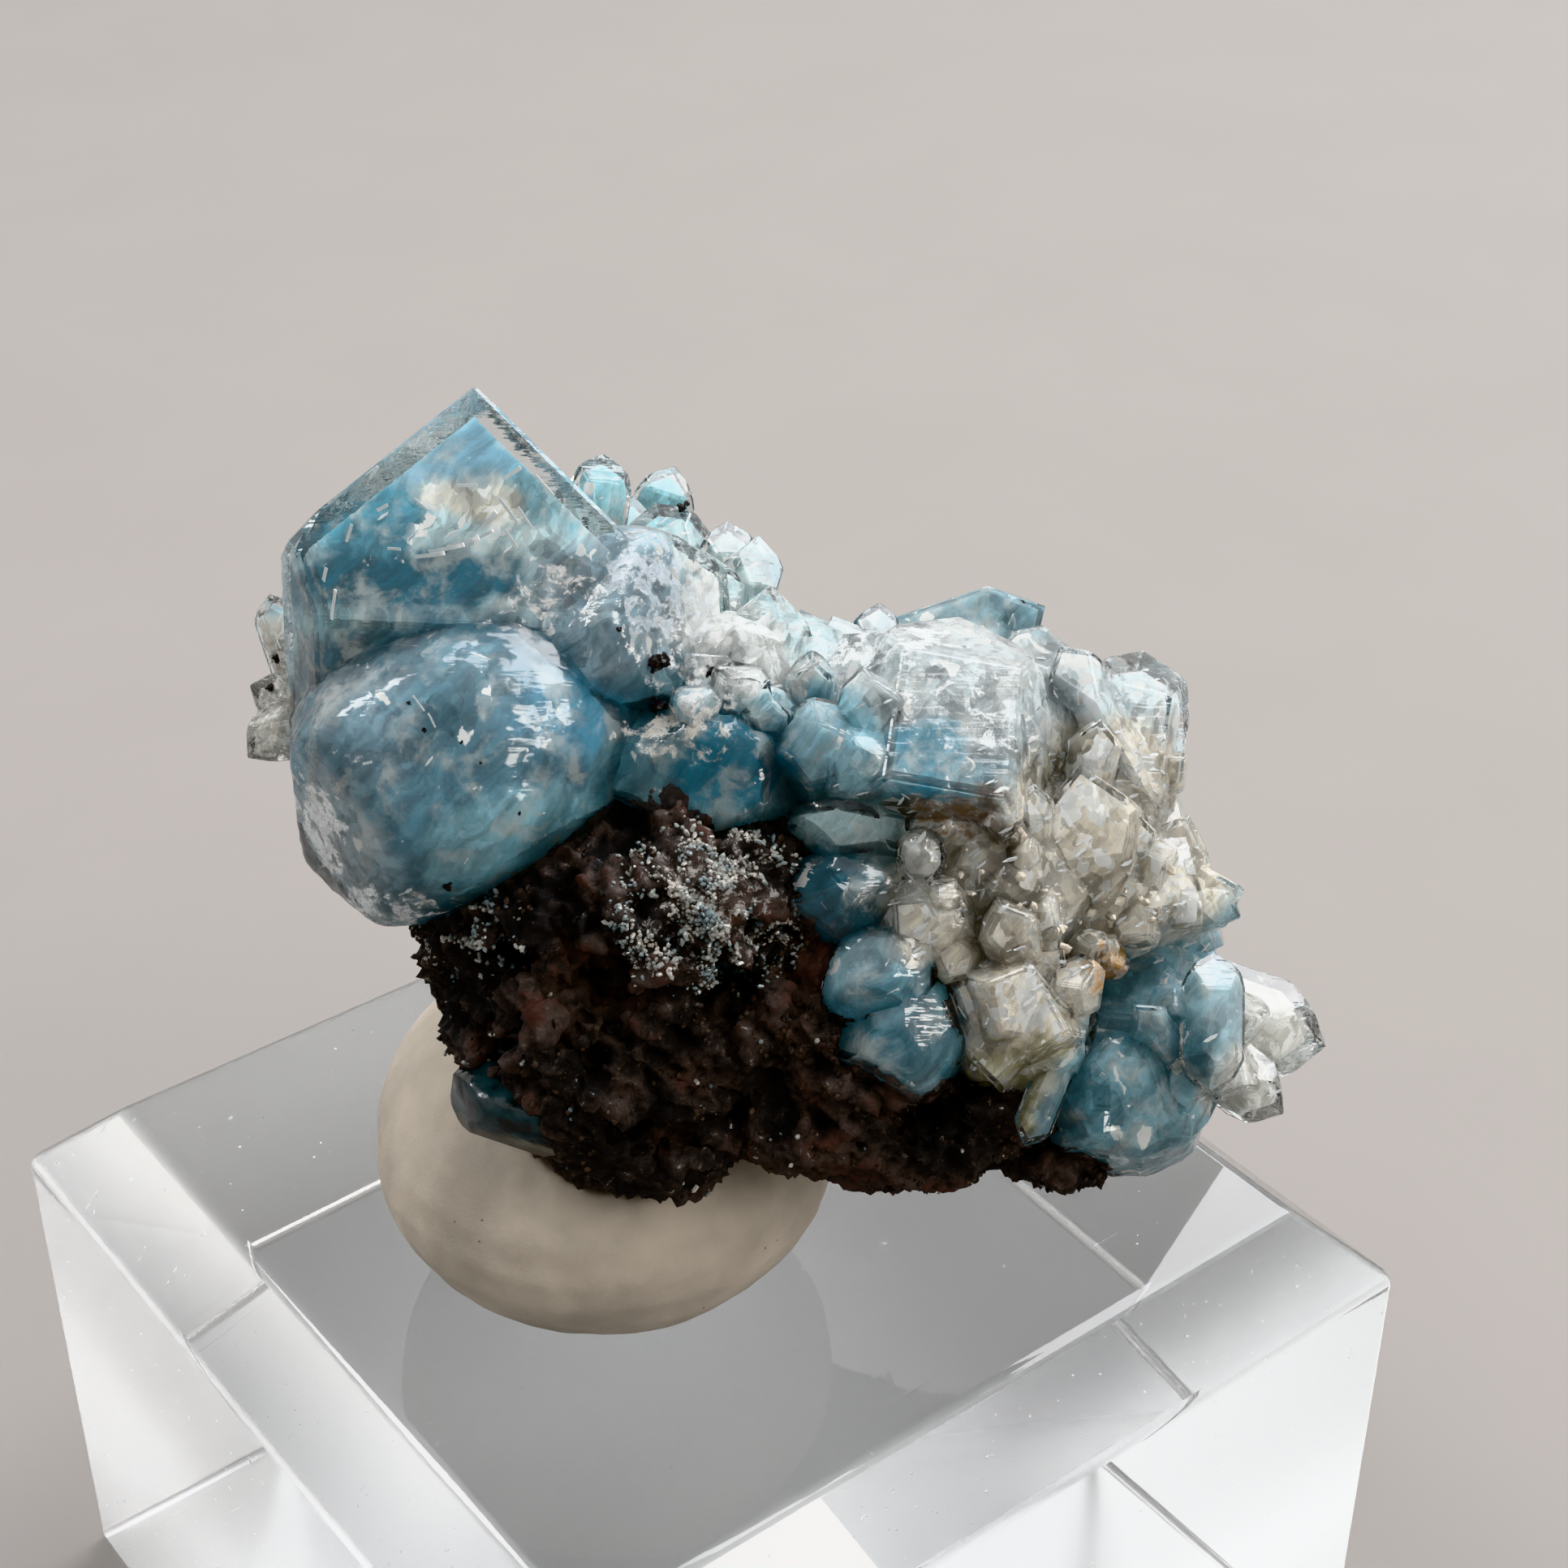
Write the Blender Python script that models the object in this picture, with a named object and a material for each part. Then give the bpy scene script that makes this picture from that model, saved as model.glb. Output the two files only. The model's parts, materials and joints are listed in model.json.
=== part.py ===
"""Blue-included quartz on dark rock, pressed into a ball of mineral tack on a clear acrylic block.

The specimen is modelled in its own display frame, in millimetres: X to the right, Y up and Z out
of its best face, with the origin in the middle of the crystals. An empty tilts and turns that
frame onto the block. The row frame has its origin under the middle of the block, with Z up.
"""
import math
import random

import bmesh
import bpy
from mathutils import Euler, Matrix, Vector, noise

MM = 0.001
CLEARANCE = 0.3

BLOCK_SIDE = 38.0
BLOCK_HEIGHT = 25.0
BLOCK_CHAMFER = 3.0
BLOCK_EDGE_ROUNDING = 0.3

TACK_WIDTH = 16.4
TACK_HEIGHT = 12.6
TACK_CENTRE_HEIGHT = 5.8
TACK_PLACE = (-2.8, -5.0)

SEAT_PLACE = (3.5, -5.0)
SEAT_HEIGHT = 20.5
FACE_TILT = 56.4
FACE_TURN = -37.7

# Edges steeper than this stay sharp under smooth shading
SHARP_ANGLE = math.radians(25)

# Angle between the main crystal axis and the normal of a quartz rhombohedral face
RHOMB_ANGLE = math.radians(51.8)


def clear_scene():
    for obj in list(bpy.data.objects):
        bpy.data.objects.remove(obj, do_unlink=True)


def collection_named(name):
    made = bpy.data.collections.new(name)
    bpy.context.scene.collection.children.link(made)
    return made


def material(name, colour, roughness, metallic=0.0, transmission=0.0, ior=1.5):
    made = bpy.data.materials.new(name)
    made.use_nodes = True
    shader = made.node_tree.nodes["Principled BSDF"]
    shader.inputs["Base Color"].default_value = (*colour, 1.0)
    shader.inputs["Roughness"].default_value = roughness
    shader.inputs["Metallic"].default_value = metallic
    shader.inputs["Transmission Weight"].default_value = transmission
    shader.inputs["IOR"].default_value = ior
    return made


def object_from(bm, name, group, surface, parent=None):
    """Turns millimetre geometry into a named object in metres."""
    bm.transform(Matrix.Scale(MM, 4))
    mesh = bpy.data.meshes.new(name)
    bm.to_mesh(mesh)
    bm.free()
    mesh.shade_smooth()
    mesh.set_sharp_from_angle(angle=SHARP_ANGLE)
    mesh.materials.append(surface)
    made = bpy.data.objects.new(name, mesh)
    made.parent = parent
    group.objects.link(made)
    return made


def helper(obj):
    obj.hide_render = True
    obj.display_type = "WIRE"
    return obj


def trim(bm, point, normal):
    """Cuts off what lies beyond a plane and closes the cut with one flat face."""
    everything = bm.verts[:] + bm.edges[:] + bm.faces[:]
    cut = bmesh.ops.bisect_plane(
        bm, geom=everything, plane_co=point, plane_no=normal, clear_outer=True, dist=1e-5
    )
    rim = [e for e in cut["geom_cut"] if isinstance(e, bmesh.types.BMEdge)]
    if rim:
        bmesh.ops.contextual_create(bm, geom=rim)


def facing(axis, turn):
    """Axes of a crystal that points along axis, with its first face towards +Z, then turned."""
    along = Vector(axis).normalized()
    front = Vector((0, 0, 1)) - along * along.z
    if front.length < 1e-3:
        front = Vector((0, 1, 0))
    front.normalize()
    right = front.cross(along)
    frame = Matrix((right, front, along)).transposed()
    return frame @ Matrix.Rotation(math.radians(turn), 3, "Z")


def quartz_point(tip, axis, sides, length, turn=0.0, small=0.6, blunt=0.0, grow=0.0):
    """A six-sided quartz crystal that ends in three large and three small sloping faces.

    sides holds the distances from the axis to the six prism faces, starting with the front one
    and going round to the right. small moves the three lesser faces out, so they stay narrow.
    blunt is how much the foot tapers, from 0 for a flat foot to 1 for a second full point.
    """
    bm = bmesh.new()
    reach = 4.0 * (max(sides) + length)
    bmesh.ops.create_cube(bm, size=reach)
    for k, distance in enumerate(sides):
        way = math.radians(60 * k)
        out = Vector((-math.sin(way), math.cos(way), 0.0))
        trim(bm, out * (distance + grow), out)
    slope, rise = math.sin(RHOMB_ANGLE), math.cos(RHOMB_ANGLE)
    for k in range(6):
        way = math.radians(60 * k)
        out = Vector((-math.sin(way) * slope, math.cos(way) * slope, rise))
        shift = (small if k % 2 else 0.0) + grow
        trim(bm, out * shift, out)
        if blunt:
            out.z = -out.z
            foot = Vector((0, 0, -length)) + out * ((0.0 if k % 2 else small) + grow)
            trim(bm, foot, out)
    trim(bm, Vector((0, 0, -length - grow)), Vector((0, 0, -1)))
    place = facing(axis, turn).to_4x4()
    place.translation = Vector(tip)
    bm.transform(place)
    bmesh.ops.recalc_face_normals(bm, faces=bm.faces)
    return bm


def nodule(centre, radii, tilt=(0, 0, 0), cuts=(), rough=0.0, seed=0, detail=3, grow=0.0):
    """A rounded, broken lump: a ball pulled to three radii, roughened, then cut flat."""
    bm = bmesh.new()
    bmesh.ops.create_icosphere(bm, subdivisions=detail, radius=1.0)
    shift = Vector((seed * 7.3, seed * 3.1, seed * 5.7))
    for vert in bm.verts:
        swell = 1.0 + rough * noise.noise(vert.co * 1.7 + shift)
        swell += 0.5 * rough * noise.noise(vert.co * 4.1 + shift)
        vert.co = Vector([c * (r * swell + grow) for c, r in zip(vert.co, radii)])
    place = Euler([math.radians(a) for a in tilt]).to_matrix().to_4x4()
    place.translation = Vector(centre)
    bm.transform(place)
    for normal, distance in cuts:
        out = Vector(normal).normalized()
        trim(bm, Vector(centre) + out * (distance + grow), out)
    bmesh.ops.recalc_face_normals(bm, faces=bm.faces)
    return bm


def even_sides(width, depth, seed):
    """Six face distances for a slightly uneven crystal, width across and depth front to back."""
    chance = random.Random(seed)
    slant = width / 2 * math.sin(math.radians(60))
    base = (depth / 2, slant, slant, depth / 2, slant, slant)
    return [distance * chance.uniform(0.92, 1.08) for distance in base]


# Tip, axis, width, depth, length, turn about the axis, how much the foot tapers
FRONT_CRYSTALS = (
    # Small crystals behind the tall one
    ((-6.2, 11.4, -5.0), (0.1, 1.0, -0.2), 2.2, 2.0, 6.0, 10, 0),
    ((-3.8, 11.2, -7.0), (0.3, 0.9, 0.0), 2.2, 1.8, 5.0, 0, 0),
    ((-5.2, 10.0, -5.5), (0.2, 0.95, 0.1), 1.8, 1.8, 4.0, 25, 0),
    ((-4.4, 9.6, -4.0), (-0.25, 0.9, -0.3), 3.2, 2.8, 6.0, 0, 0),
    ((-1.9, 8.9, -3.0), (0.0, 1.0, -0.1), 2.3, 2.2, 5.0, 12, 0),
    ((-0.8, 8.3, -2.0), (0.25, 0.9, 0.1), 2.4, 2.4, 6.0, 30, 0),
    ((-2.6, 7.6, 0.5), (0.0, 0.9, 0.3), 3.0, 2.6, 5.0, 20, 0),
    # Glassy crystals in the middle
    ((-0.4, 6.3, 3.0), (0.1, 0.88, 0.35), 3.4, 3.0, 5.5, 8, 0),
    ((-1.6, 5.0, 4.4), (-0.3, 0.75, 0.5), 2.4, 2.0, 4.5, 0, 0),
    ((-2.9, 4.0, 5.0), (-0.35, 0.6, 0.7), 2.4, 1.8, 4.5, 15, 0),
    ((-1.8, 3.2, 6.0), (-0.3, 0.3, 0.9), 2.2, 1.8, 4.0, 0, 0),
    ((3.2, 6.0, -1.0), (0.1, 0.97, 0.0), 1.9, 2.0, 4.0, 0, 0),
    ((1.6, 5.5, 0.0), (-0.2, 0.9, 0.0), 2.2, 2.2, 4.0, 30, 0),
    # The large milky crystal on the right and those beside it
    ((5.7, 5.4, 1.0), (0.15, 0.85, -0.5), 6.8, 5.4, 8.0, 0, 0),
    ((8.8, 5.9, -2.0), (0.92, 0.3, 0.2), 3.0, 3.2, 6.0, 30, 0),
    ((8.5, 5.2, 0.0), (0.25, 0.93, -0.3), 2.9, 3.0, 7.0, 10, 0),
    ((1.9, 4.8, 2.0), (-0.5, 0.8, -0.2), 3.4, 3.0, 6.0, 0, 0),
    ((1.0, 1.9, 7.2), (-0.1, 0.4, 0.9), 2.9, 2.6, 5.0, 0, 0),
    ((2.7, 3.2, 6.4), (0.0, 0.6, 0.8), 2.4, 2.2, 5.0, 15, 0),
    ((8.8, 4.4, 2.0), (-0.5, 0.85, 0.1), 1.9, 3.0, 6.0, 0, 0),
    ((7.4, 2.4, 5.2), (0.3, 0.7, 0.6), 2.4, 2.2, 5.0, 20, 0),
    ((9.9, 2.0, 4.2), (0.1, 0.8, 0.6), 1.8, 1.8, 4.0, 0, 0),
    ((11.9, 4.4, -1.0), (0.2, 0.9, -0.4), 4.1, 3.4, 7.0, 4, 0),
    ((10.9, 2.6, 1.6), (0.35, 0.9, 0.1), 2.0, 2.0, 5.0, 30, 0),
    # Beige crystals down the right side
    ((9.2, 0.6, 4.6), (-0.12, 0.88, 0.45), 4.0, 3.6, 5.6, 0, 0.6),
    ((7.7, 0.0, 5.4), (0.0, 0.92, 0.4), 1.4, 1.3, 4.5, 10, 0),
    ((6.7, -1.9, 6.3), (0.05, -0.8, 0.6), 1.6, 1.4, 3.5, 0, 0),
    ((13.0, -1.0, 2.0), (0.45, 0.85, 0.25), 3.2, 3.0, 6.0, 15, 0),
    ((14.8, -3.4, 2.0), (0.92, 0.15, 0.3), 2.8, 2.8, 6.0, 20, 0),
    ((14.6, -4.3, 2.4), (0.8, -0.35, 0.4), 1.8, 1.8, 4.0, 0, 0),
    ((6.6, -3.7, 6.9), (-0.25, 0.6, 0.75), 2.2, 1.8, 4.5, 0, 0),
    ((3.3, -3.6, 6.4), (-0.6, 0.5, 0.6), 2.2, 2.0, 4.5, 0, 0),
    ((8.6, -5.0, 5.8), (0.5, 0.5, 0.7), 2.0, 1.8, 4.5, 10, 0),
    ((6.2, -6.0, 7.2), (-0.35, 0.35, 0.85), 3.0, 2.4, 5.0, 20, 0),
    ((8.6, -7.6, 6.8), (0.4, -0.1, 0.9), 3.0, 2.8, 5.0, 0, 0),
    ((6.4, -9.2, 6.3), (-0.2, -0.6, 0.75), 3.0, 2.4, 4.5, 25, 0),
    ((7.4, -11.2, 5.6), (-0.38, -0.85, 0.3), 1.2, 1.0, 3.2, 0, 0),
    # Short crystals that fill the right side
    ((7.5, -2.0, 6.4), (0.2, 0.3, 0.9), 1.3, 1.2, 2.5, 10, 0),
    ((5.4, -0.6, 6.0), (-0.2, 0.3, 0.9), 1.4, 1.2, 2.5, 0, 0),
    ((6.2, -1.2, 5.8), (0.3, 0.1, 0.95), 1.1, 1.0, 2.5, 0, 0),
    ((4.6, -3.0, 6.6), (-0.3, 0.5, 0.8), 1.3, 1.2, 2.5, 25, 0),
    ((5.8, -2.4, 5.6), (0.0, 0.2, 1.0), 1.5, 1.4, 2.5, 0, 0),
    ((8.2, -3.8, 6.4), (0.3, 0.3, 0.9), 1.5, 1.4, 3.0, 15, 0),
    ((10.2, -5.6, 5.0), (0.2, -0.1, 0.97), 1.7, 1.6, 3.0, 0, 0),
    ((9.4, -5.0, 5.6), (-0.1, 0.2, 0.95), 1.4, 1.3, 3.0, 20, 0),
    ((11.4, -4.8, 4.6), (0.3, -0.3, 0.9), 1.9, 1.7, 3.0, 0, 0),
    ((13.2, -4.6, 3.4), (0.5, -0.6, 0.6), 1.7, 1.5, 3.0, 10, 0),
    ((12.0, -2.4, 4.4), (0.4, 0.2, 0.9), 2.1, 1.9, 3.5, 0, 0),
    ((11.1, -1.0, 4.6), (0.2, 0.6, 0.75), 1.8, 1.6, 3.5, 25, 0),
    ((9.1, -6.2, 6.6), (0.1, 0.1, 1.0), 2.1, 1.9, 3.5, 5, 0),
    ((4.6, -5.2, 6.4), (-0.4, 0.1, 0.9), 1.9, 1.7, 3.0, 0, 0),
    ((15.2, -7.4, 3.0), (0.5, 0.1, 0.85), 2.1, 1.9, 3.0, 0, 0),
    ((14.6, -9.6, 3.8), (0.3, -0.3, 0.9), 1.9, 1.7, 3.0, 20, 0),
    ((12.2, -7.0, 4.8), (0.0, 0.1, 1.0), 1.7, 1.5, 3.0, 0, 0),
    ((12.9, 0.8, 1.8), (0.5, 0.4, 0.75), 1.8, 1.6, 3.0, 0, 0),
    ((-2.9, 2.4, 6.4), (-0.2, 0.1, 1.0), 1.7, 1.5, 3.0, 0, 0),
    ((-0.3, 2.6, 6.2), (0.1, 0.3, 0.9), 1.9, 1.7, 3.0, 20, 0),
    ((0.9, 3.9, 5.0), (0.0, 0.6, 0.8), 1.7, 1.5, 3.0, 0, 0),
    # Crystals at the lower right end
    ((12.2, -5.8, 3.0), (-0.1, 0.88, 0.3), 2.2, 2.2, 4.8, 0, 0),
    ((10.9, -6.9, 4.8), (-0.5, 0.6, 0.5), 1.5, 1.4, 3.6, 0, 0),
    ((13.5, -5.3, 3.6), (0.05, 0.93, -0.25), 2.1, 2.2, 4.6, 0, 1),
    ((17.7, -8.6, 0.5), (0.9, -0.3, 0.1), 3.4, 3.2, 6.5, 10, 0),
    ((15.4, -6.3, 0.5), (0.5, 0.8, 0.1), 2.4, 2.4, 5.0, 0, 0),
    ((16.0, -10.6, 2.2), (0.75, -0.6, 0.25), 2.4, 2.2, 4.5, 15, 0),
    ((12.6, -10.4, 4.2), (0.1, -0.7, 0.6), 1.9, 1.6, 3.5, 0, 0),
    # Small crystals at the left end
    ((-16.5, 4.6, 1.0), (-0.6, 0.3, 0.7), 1.4, 1.3, 3.0, 0, 0),
    ((-16.2, 2.7, 1.8), (-0.5, -0.1, 0.85), 1.3, 1.2, 3.0, 20, 0),
    ((-16.5, 1.2, 2.2), (-0.5, -0.3, 0.8), 1.4, 1.3, 3.0, 0, 0),
    ((-17.0, 6.3, -1.0), (-0.3, 0.93, 0.1), 1.7, 1.6, 5.0, 0, 0),
    ((-17.4, 3.2, 0.5), (-0.85, 0.4, 0.25), 1.9, 1.8, 4.0, 10, 0),
    ((-17.3, 0.8, 1.4), (-0.7, -0.6, 0.3), 2.0, 1.9, 4.5, 0, 0),
    ((-17.6, 2.0, -0.6), (-0.95, 0.05, -0.2), 1.7, 1.6, 4.0, 25, 0),
)
BACK_CRYSTALS = (
    ((-12.5, 5.0, -7.5), (-0.5, 0.4, -0.8), 4.4, 4.0, 8.0, 0, 0),
    ((-8.0, 7.6, -8.0), (-0.1, 0.6, -0.8), 3.8, 3.6, 7.0, 20, 0),
    ((-3.0, 4.6, -10.0), (0.1, 0.4, -0.9), 4.4, 4.2, 8.0, 5, 0),
    ((2.0, 4.0, -8.6), (0.2, 0.5, -0.85), 3.8, 3.4, 7.0, 30, 0),
    ((6.0, 4.2, -6.6), (0.3, 0.6, -0.7), 3.4, 3.2, 6.5, 10, 0),
    ((10.2, 2.2, -7.2), (0.5, 0.4, -0.75), 3.8, 3.6, 7.0, 0, 0),
    ((14.0, -1.8, -5.4), (0.8, 0.3, -0.5), 3.2, 3.0, 6.5, 15, 0),
    ((15.0, -6.8, -4.6), (0.85, -0.1, -0.5), 3.4, 3.0, 6.5, 0, 0),
    ((10.4, -6.0, -7.4), (0.4, -0.2, -0.9), 3.8, 3.4, 6.5, 20, 0),
    ((4.6, -0.6, -9.0), (0.15, 0.05, -1.0), 3.4, 3.2, 5.5, 0, 0),
    ((-8.0, 1.6, -9.2), (-0.2, -0.1, -1.0), 3.6, 3.4, 6.0, 12, 0),
    ((-14.4, 0.4, -5.0), (-0.8, -0.15, -0.6), 3.6, 3.2, 7.0, 0, 0),
    ((0.6, 6.0, -4.6), (0.0, 0.9, -0.4), 2.8, 2.6, 6.0, 25, 0),
    ((3.4, 5.6, -3.6), (0.2, 0.95, -0.2), 2.4, 2.4, 5.0, 0, 0),
)

# Centre, radii, tilt, flat cuts as direction and distance, roughness
QUARTZ_LUMPS = (
    # The broken blue lump in front of the tall crystal, with its chipped left side
    ((-10.2, 0.6, 3.0), (6.2, 4.8, 5.6), (0, 0, 25),
     (((-0.1, 0.1, 1.0), 5.1), ((-1.0, -0.05, 0.1), 5.2), ((-0.75, -0.45, 0.5), 4.75)), 0.06),
    # The frosted lump beside it
    ((-5.4, 4.9, 3.2), (4.4, 3.0, 3.8), (0, 0, 22),
     (((0.6, 0.35, 0.7), 2.6), ((-0.35, 0.85, 0.4), 2.5), ((0.1, 0.1, 1.0), 3.3)), 0.1),
    # The deep blue broken face above the rock
    ((-2.6, 0.4, 3.2), (3.7, 2.5, 3.2), (0, 0, 5),
     (((0.0, -0.1, 1.0), 2.7),), 0.12),
    ((2.2, 0.6, 5.4), (1.5, 1.3, 1.7), (0, 0, 0), (), 0.12),
    ((2.1, -1.4, 4.8), (2.1, 1.2, 1.9), (0, 0, -10), (((0.0, 0.0, 1.0), 1.5),), 0.1),
    ((1.9, -3.6, 3.6), (2.4, 1.9, 2.4), (0, 0, 20), (), 0.1),
    ((4.2, -2.2, 6.2), (0.75, 0.85, 0.8), (0, 0, 0), (), 0.1),
    ((5.0, -1.4, 4.0), (2.4, 1.8, 1.8), (0, 0, 0), (), 0.25),
    ((4.3, -4.1, 4.8), (2.0, 1.5, 1.9), (0, 0, -10), (((0.0, 0.3, 1.0), 1.5),), 0.12),
    ((2.8, -6.0, 3.6), (2.1, 2.0, 2.4), (0, 0, 20), (), 0.1),
    ((3.5, -7.6, 3.6), (2.1, 2.3, 2.6), (0, 0, 0),
     (((-0.3, -0.2, 1.0), 2.1), ((-0.5, -0.8, 0.3), 1.9)), 0.08),
    ((7.0, -7.2, 4.0), (2.9, 2.6, 2.6), (0, 0, -10),
     (((0.0, -0.6, 0.8), 2.1), ((-0.1, 0.3, 0.9), 2.2)), 0.1),
    ((10.8, -9.9, 2.2), (3.1, 2.7, 3.0), (0, 0, 20),
     (((0.1, -0.1, 1.0), 2.4), ((-0.2, -0.9, 0.4), 2.3)), 0.1),
    # The inner mass that the crystals grow from
    ((-9.0, 1.0, -1.0), (6.2, 4.8, 5.6), (0, 0, 0), (), 0.08),
    ((-2.0, 1.8, -2.0), (6.4, 4.2, 6.0), (0, 0, 0), (), 0.08),
    ((-2.0, 3.7, 2.4), (2.4, 1.8, 2.2), (0, 0, 0), (), 0.08),
    ((5.0, 0.4, -1.2), (6.2, 4.3, 5.4), (0, 0, 0), (), 0.08),
    ((10.0, -3.4, -0.6), (4.8, 4.8, 4.8), (0, 0, 0), (), 0.08),
    ((10.0, -8.0, 0.0), (5.4, 3.4, 4.4), (0, 0, 0), (), 0.08),
)
# The dark lump at the lower left, held between the rock and the tack
LOWER_LUMP = ((-8.2, -10.3, 2.2), (2.6, 1.6, 2.3), (0, 0, -15), (), 0.1)
ROCK_LUMPS = (
    ((-4.3, -5.3, 0.6), (7.3, 6.0, 6.4), (0, 0, 0), (), 0.16),
    ((-4.8, -9.7, 0.6), (4.8, 3.4, 4.8), (0, 0, -8), (), 0.14),
    ((2.6, -8.0, 1.2), (5.0, 4.4, 4.8), (0, 0, 0), (), 0.16),
    ((3.2, -10.2, 0.6), (6.2, 2.7, 4.8), (0, 0, 0), (), 0.14),
    ((9.0, -12.0, 1.0), (2.0, 1.1, 1.8), (0, 0, 0), (), 0.12),
    ((0.0, -5.0, -4.0), (9.6, 5.4, 5.0), (0, 0, 0), (), 0.14),
    ((7.6, -8.0, -3.2), (5.4, 3.6, 4.0), (0, 0, 0), (), 0.14),
)
ROCK_PITS = (
    ((-5.5, -6.6, 7.2), (1.6, 1.7, 2.2)),
    ((-1.5, -6.4, 6.8), (1.4, 1.8, 2.0)),
    ((-3.6, -11.2, 4.8), (1.4, 0.7, 1.4)),
    ((0.2, -5.0, 6.0), (1.1, 0.9, 1.5)),
    ((4.4, -10.4, 5.2), (1.9, 0.8, 1.4)),
)


def tall_crystal(grow=0.0):
    return quartz_point(
        tip=(-9.6, 12.4, 4.5),
        axis=(0.04, 0.9, 0.44),
        sides=(4.8, 6.9, 5.2, 5.0, 4.0, 6.2),
        length=12.0,
        small=2.1,
        grow=grow,
    )


def quartz_shapes(grow=0.0):
    shapes = [tall_crystal(grow)]
    for seed, (tip, axis, width, depth, length, turn, blunt) in enumerate(FRONT_CRYSTALS + BACK_CRYSTALS):
        sides = even_sides(width, depth, seed)
        shapes.append(
            quartz_point(tip, axis, sides, length, turn, 0.13 * width, blunt, grow)
        )
    for seed, (centre, radii, tilt, cuts, rough) in enumerate(QUARTZ_LUMPS):
        detail = 3 if seed == 0 else 2
        shapes.append(nodule(centre, radii, tilt, cuts, rough, seed + 1, detail, grow))
    return shapes


def lower_lump(grow=0.0):
    centre, radii, tilt, cuts, rough = LOWER_LUMP
    return nodule(centre, radii, tilt, cuts, rough, seed=29, detail=2, grow=grow)


def rock_shapes(grow=0.0):
    return [
        nodule(centre, radii, tilt, cuts, rough, seed + 30, 3 if seed < 2 else 2, grow)
        for seed, (centre, radii, tilt, cuts, rough) in enumerate(ROCK_LUMPS)
    ]


def combine(obj, operation, operand):
    modifier = obj.modifiers.new(operation.title(), "BOOLEAN")
    modifier.operation = operation
    modifier.solver = "EXACT"
    modifier.operand_type = "COLLECTION"
    modifier.collection = operand


def helper_collection(name, helpers):
    made = bpy.data.collections.new(name)
    helpers.children.link(made)
    return made


def joined(shapes, name, group, surface, parent, helpers):
    """One object grown together from all the shapes."""
    first = object_from(shapes[0], name, group, surface, parent)
    others = helper_collection(name + "_shapes", helpers)
    for count, shape in enumerate(shapes[1:]):
        helper(object_from(shape, f"{name}_shape_{count}", others, surface, parent))
    combine(first, "UNION", others)
    return first


def empty_named(name, group, location, rotation, parent=None):
    made = bpy.data.objects.new(name, None)
    made.location = [c * MM for c in location]
    made.rotation_euler = [math.radians(a) for a in rotation]
    made.parent = parent
    group.objects.link(made)
    return made


def acrylic_block(group, surface):
    bm = bmesh.new()
    bmesh.ops.create_cube(bm, size=1.0)
    bm.transform(Matrix.Diagonal((BLOCK_SIDE, BLOCK_SIDE, BLOCK_HEIGHT, 1.0)))
    bm.transform(Matrix.Translation((0, 0, BLOCK_HEIGHT / 2)))
    top = [e for e in bm.edges if all(v.co.z > BLOCK_HEIGHT / 2 for v in e.verts)]
    bmesh.ops.bevel(bm, geom=top, offset=BLOCK_CHAMFER, segments=1, affect="EDGES")
    sharp = [e for e in bm.edges if e.calc_face_angle(0.0) > math.radians(30)]
    bmesh.ops.bevel(bm, geom=sharp, offset=BLOCK_EDGE_ROUNDING, segments=1, affect="EDGES")
    return object_from(bm, "acrylic_block", group, surface)


def mineral_tack(group, surface, turntable):
    bm = bmesh.new()
    bmesh.ops.create_uvsphere(bm, u_segments=32, v_segments=14, radius=0.5)
    bm.transform(Matrix.Diagonal((TACK_WIDTH, TACK_WIDTH, TACK_HEIGHT, 1.0)))
    bm.transform(Matrix.Translation((0, 0, TACK_CENTRE_HEIGHT)))
    trim(bm, Vector((0, 0, CLEARANCE)), Vector((0, 0, -1)))
    made = object_from(bm, "mineral_tack", group, surface, turntable)
    made.location = (TACK_PLACE[0] * MM, TACK_PLACE[1] * MM, BLOCK_HEIGHT * MM)
    return made


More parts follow.
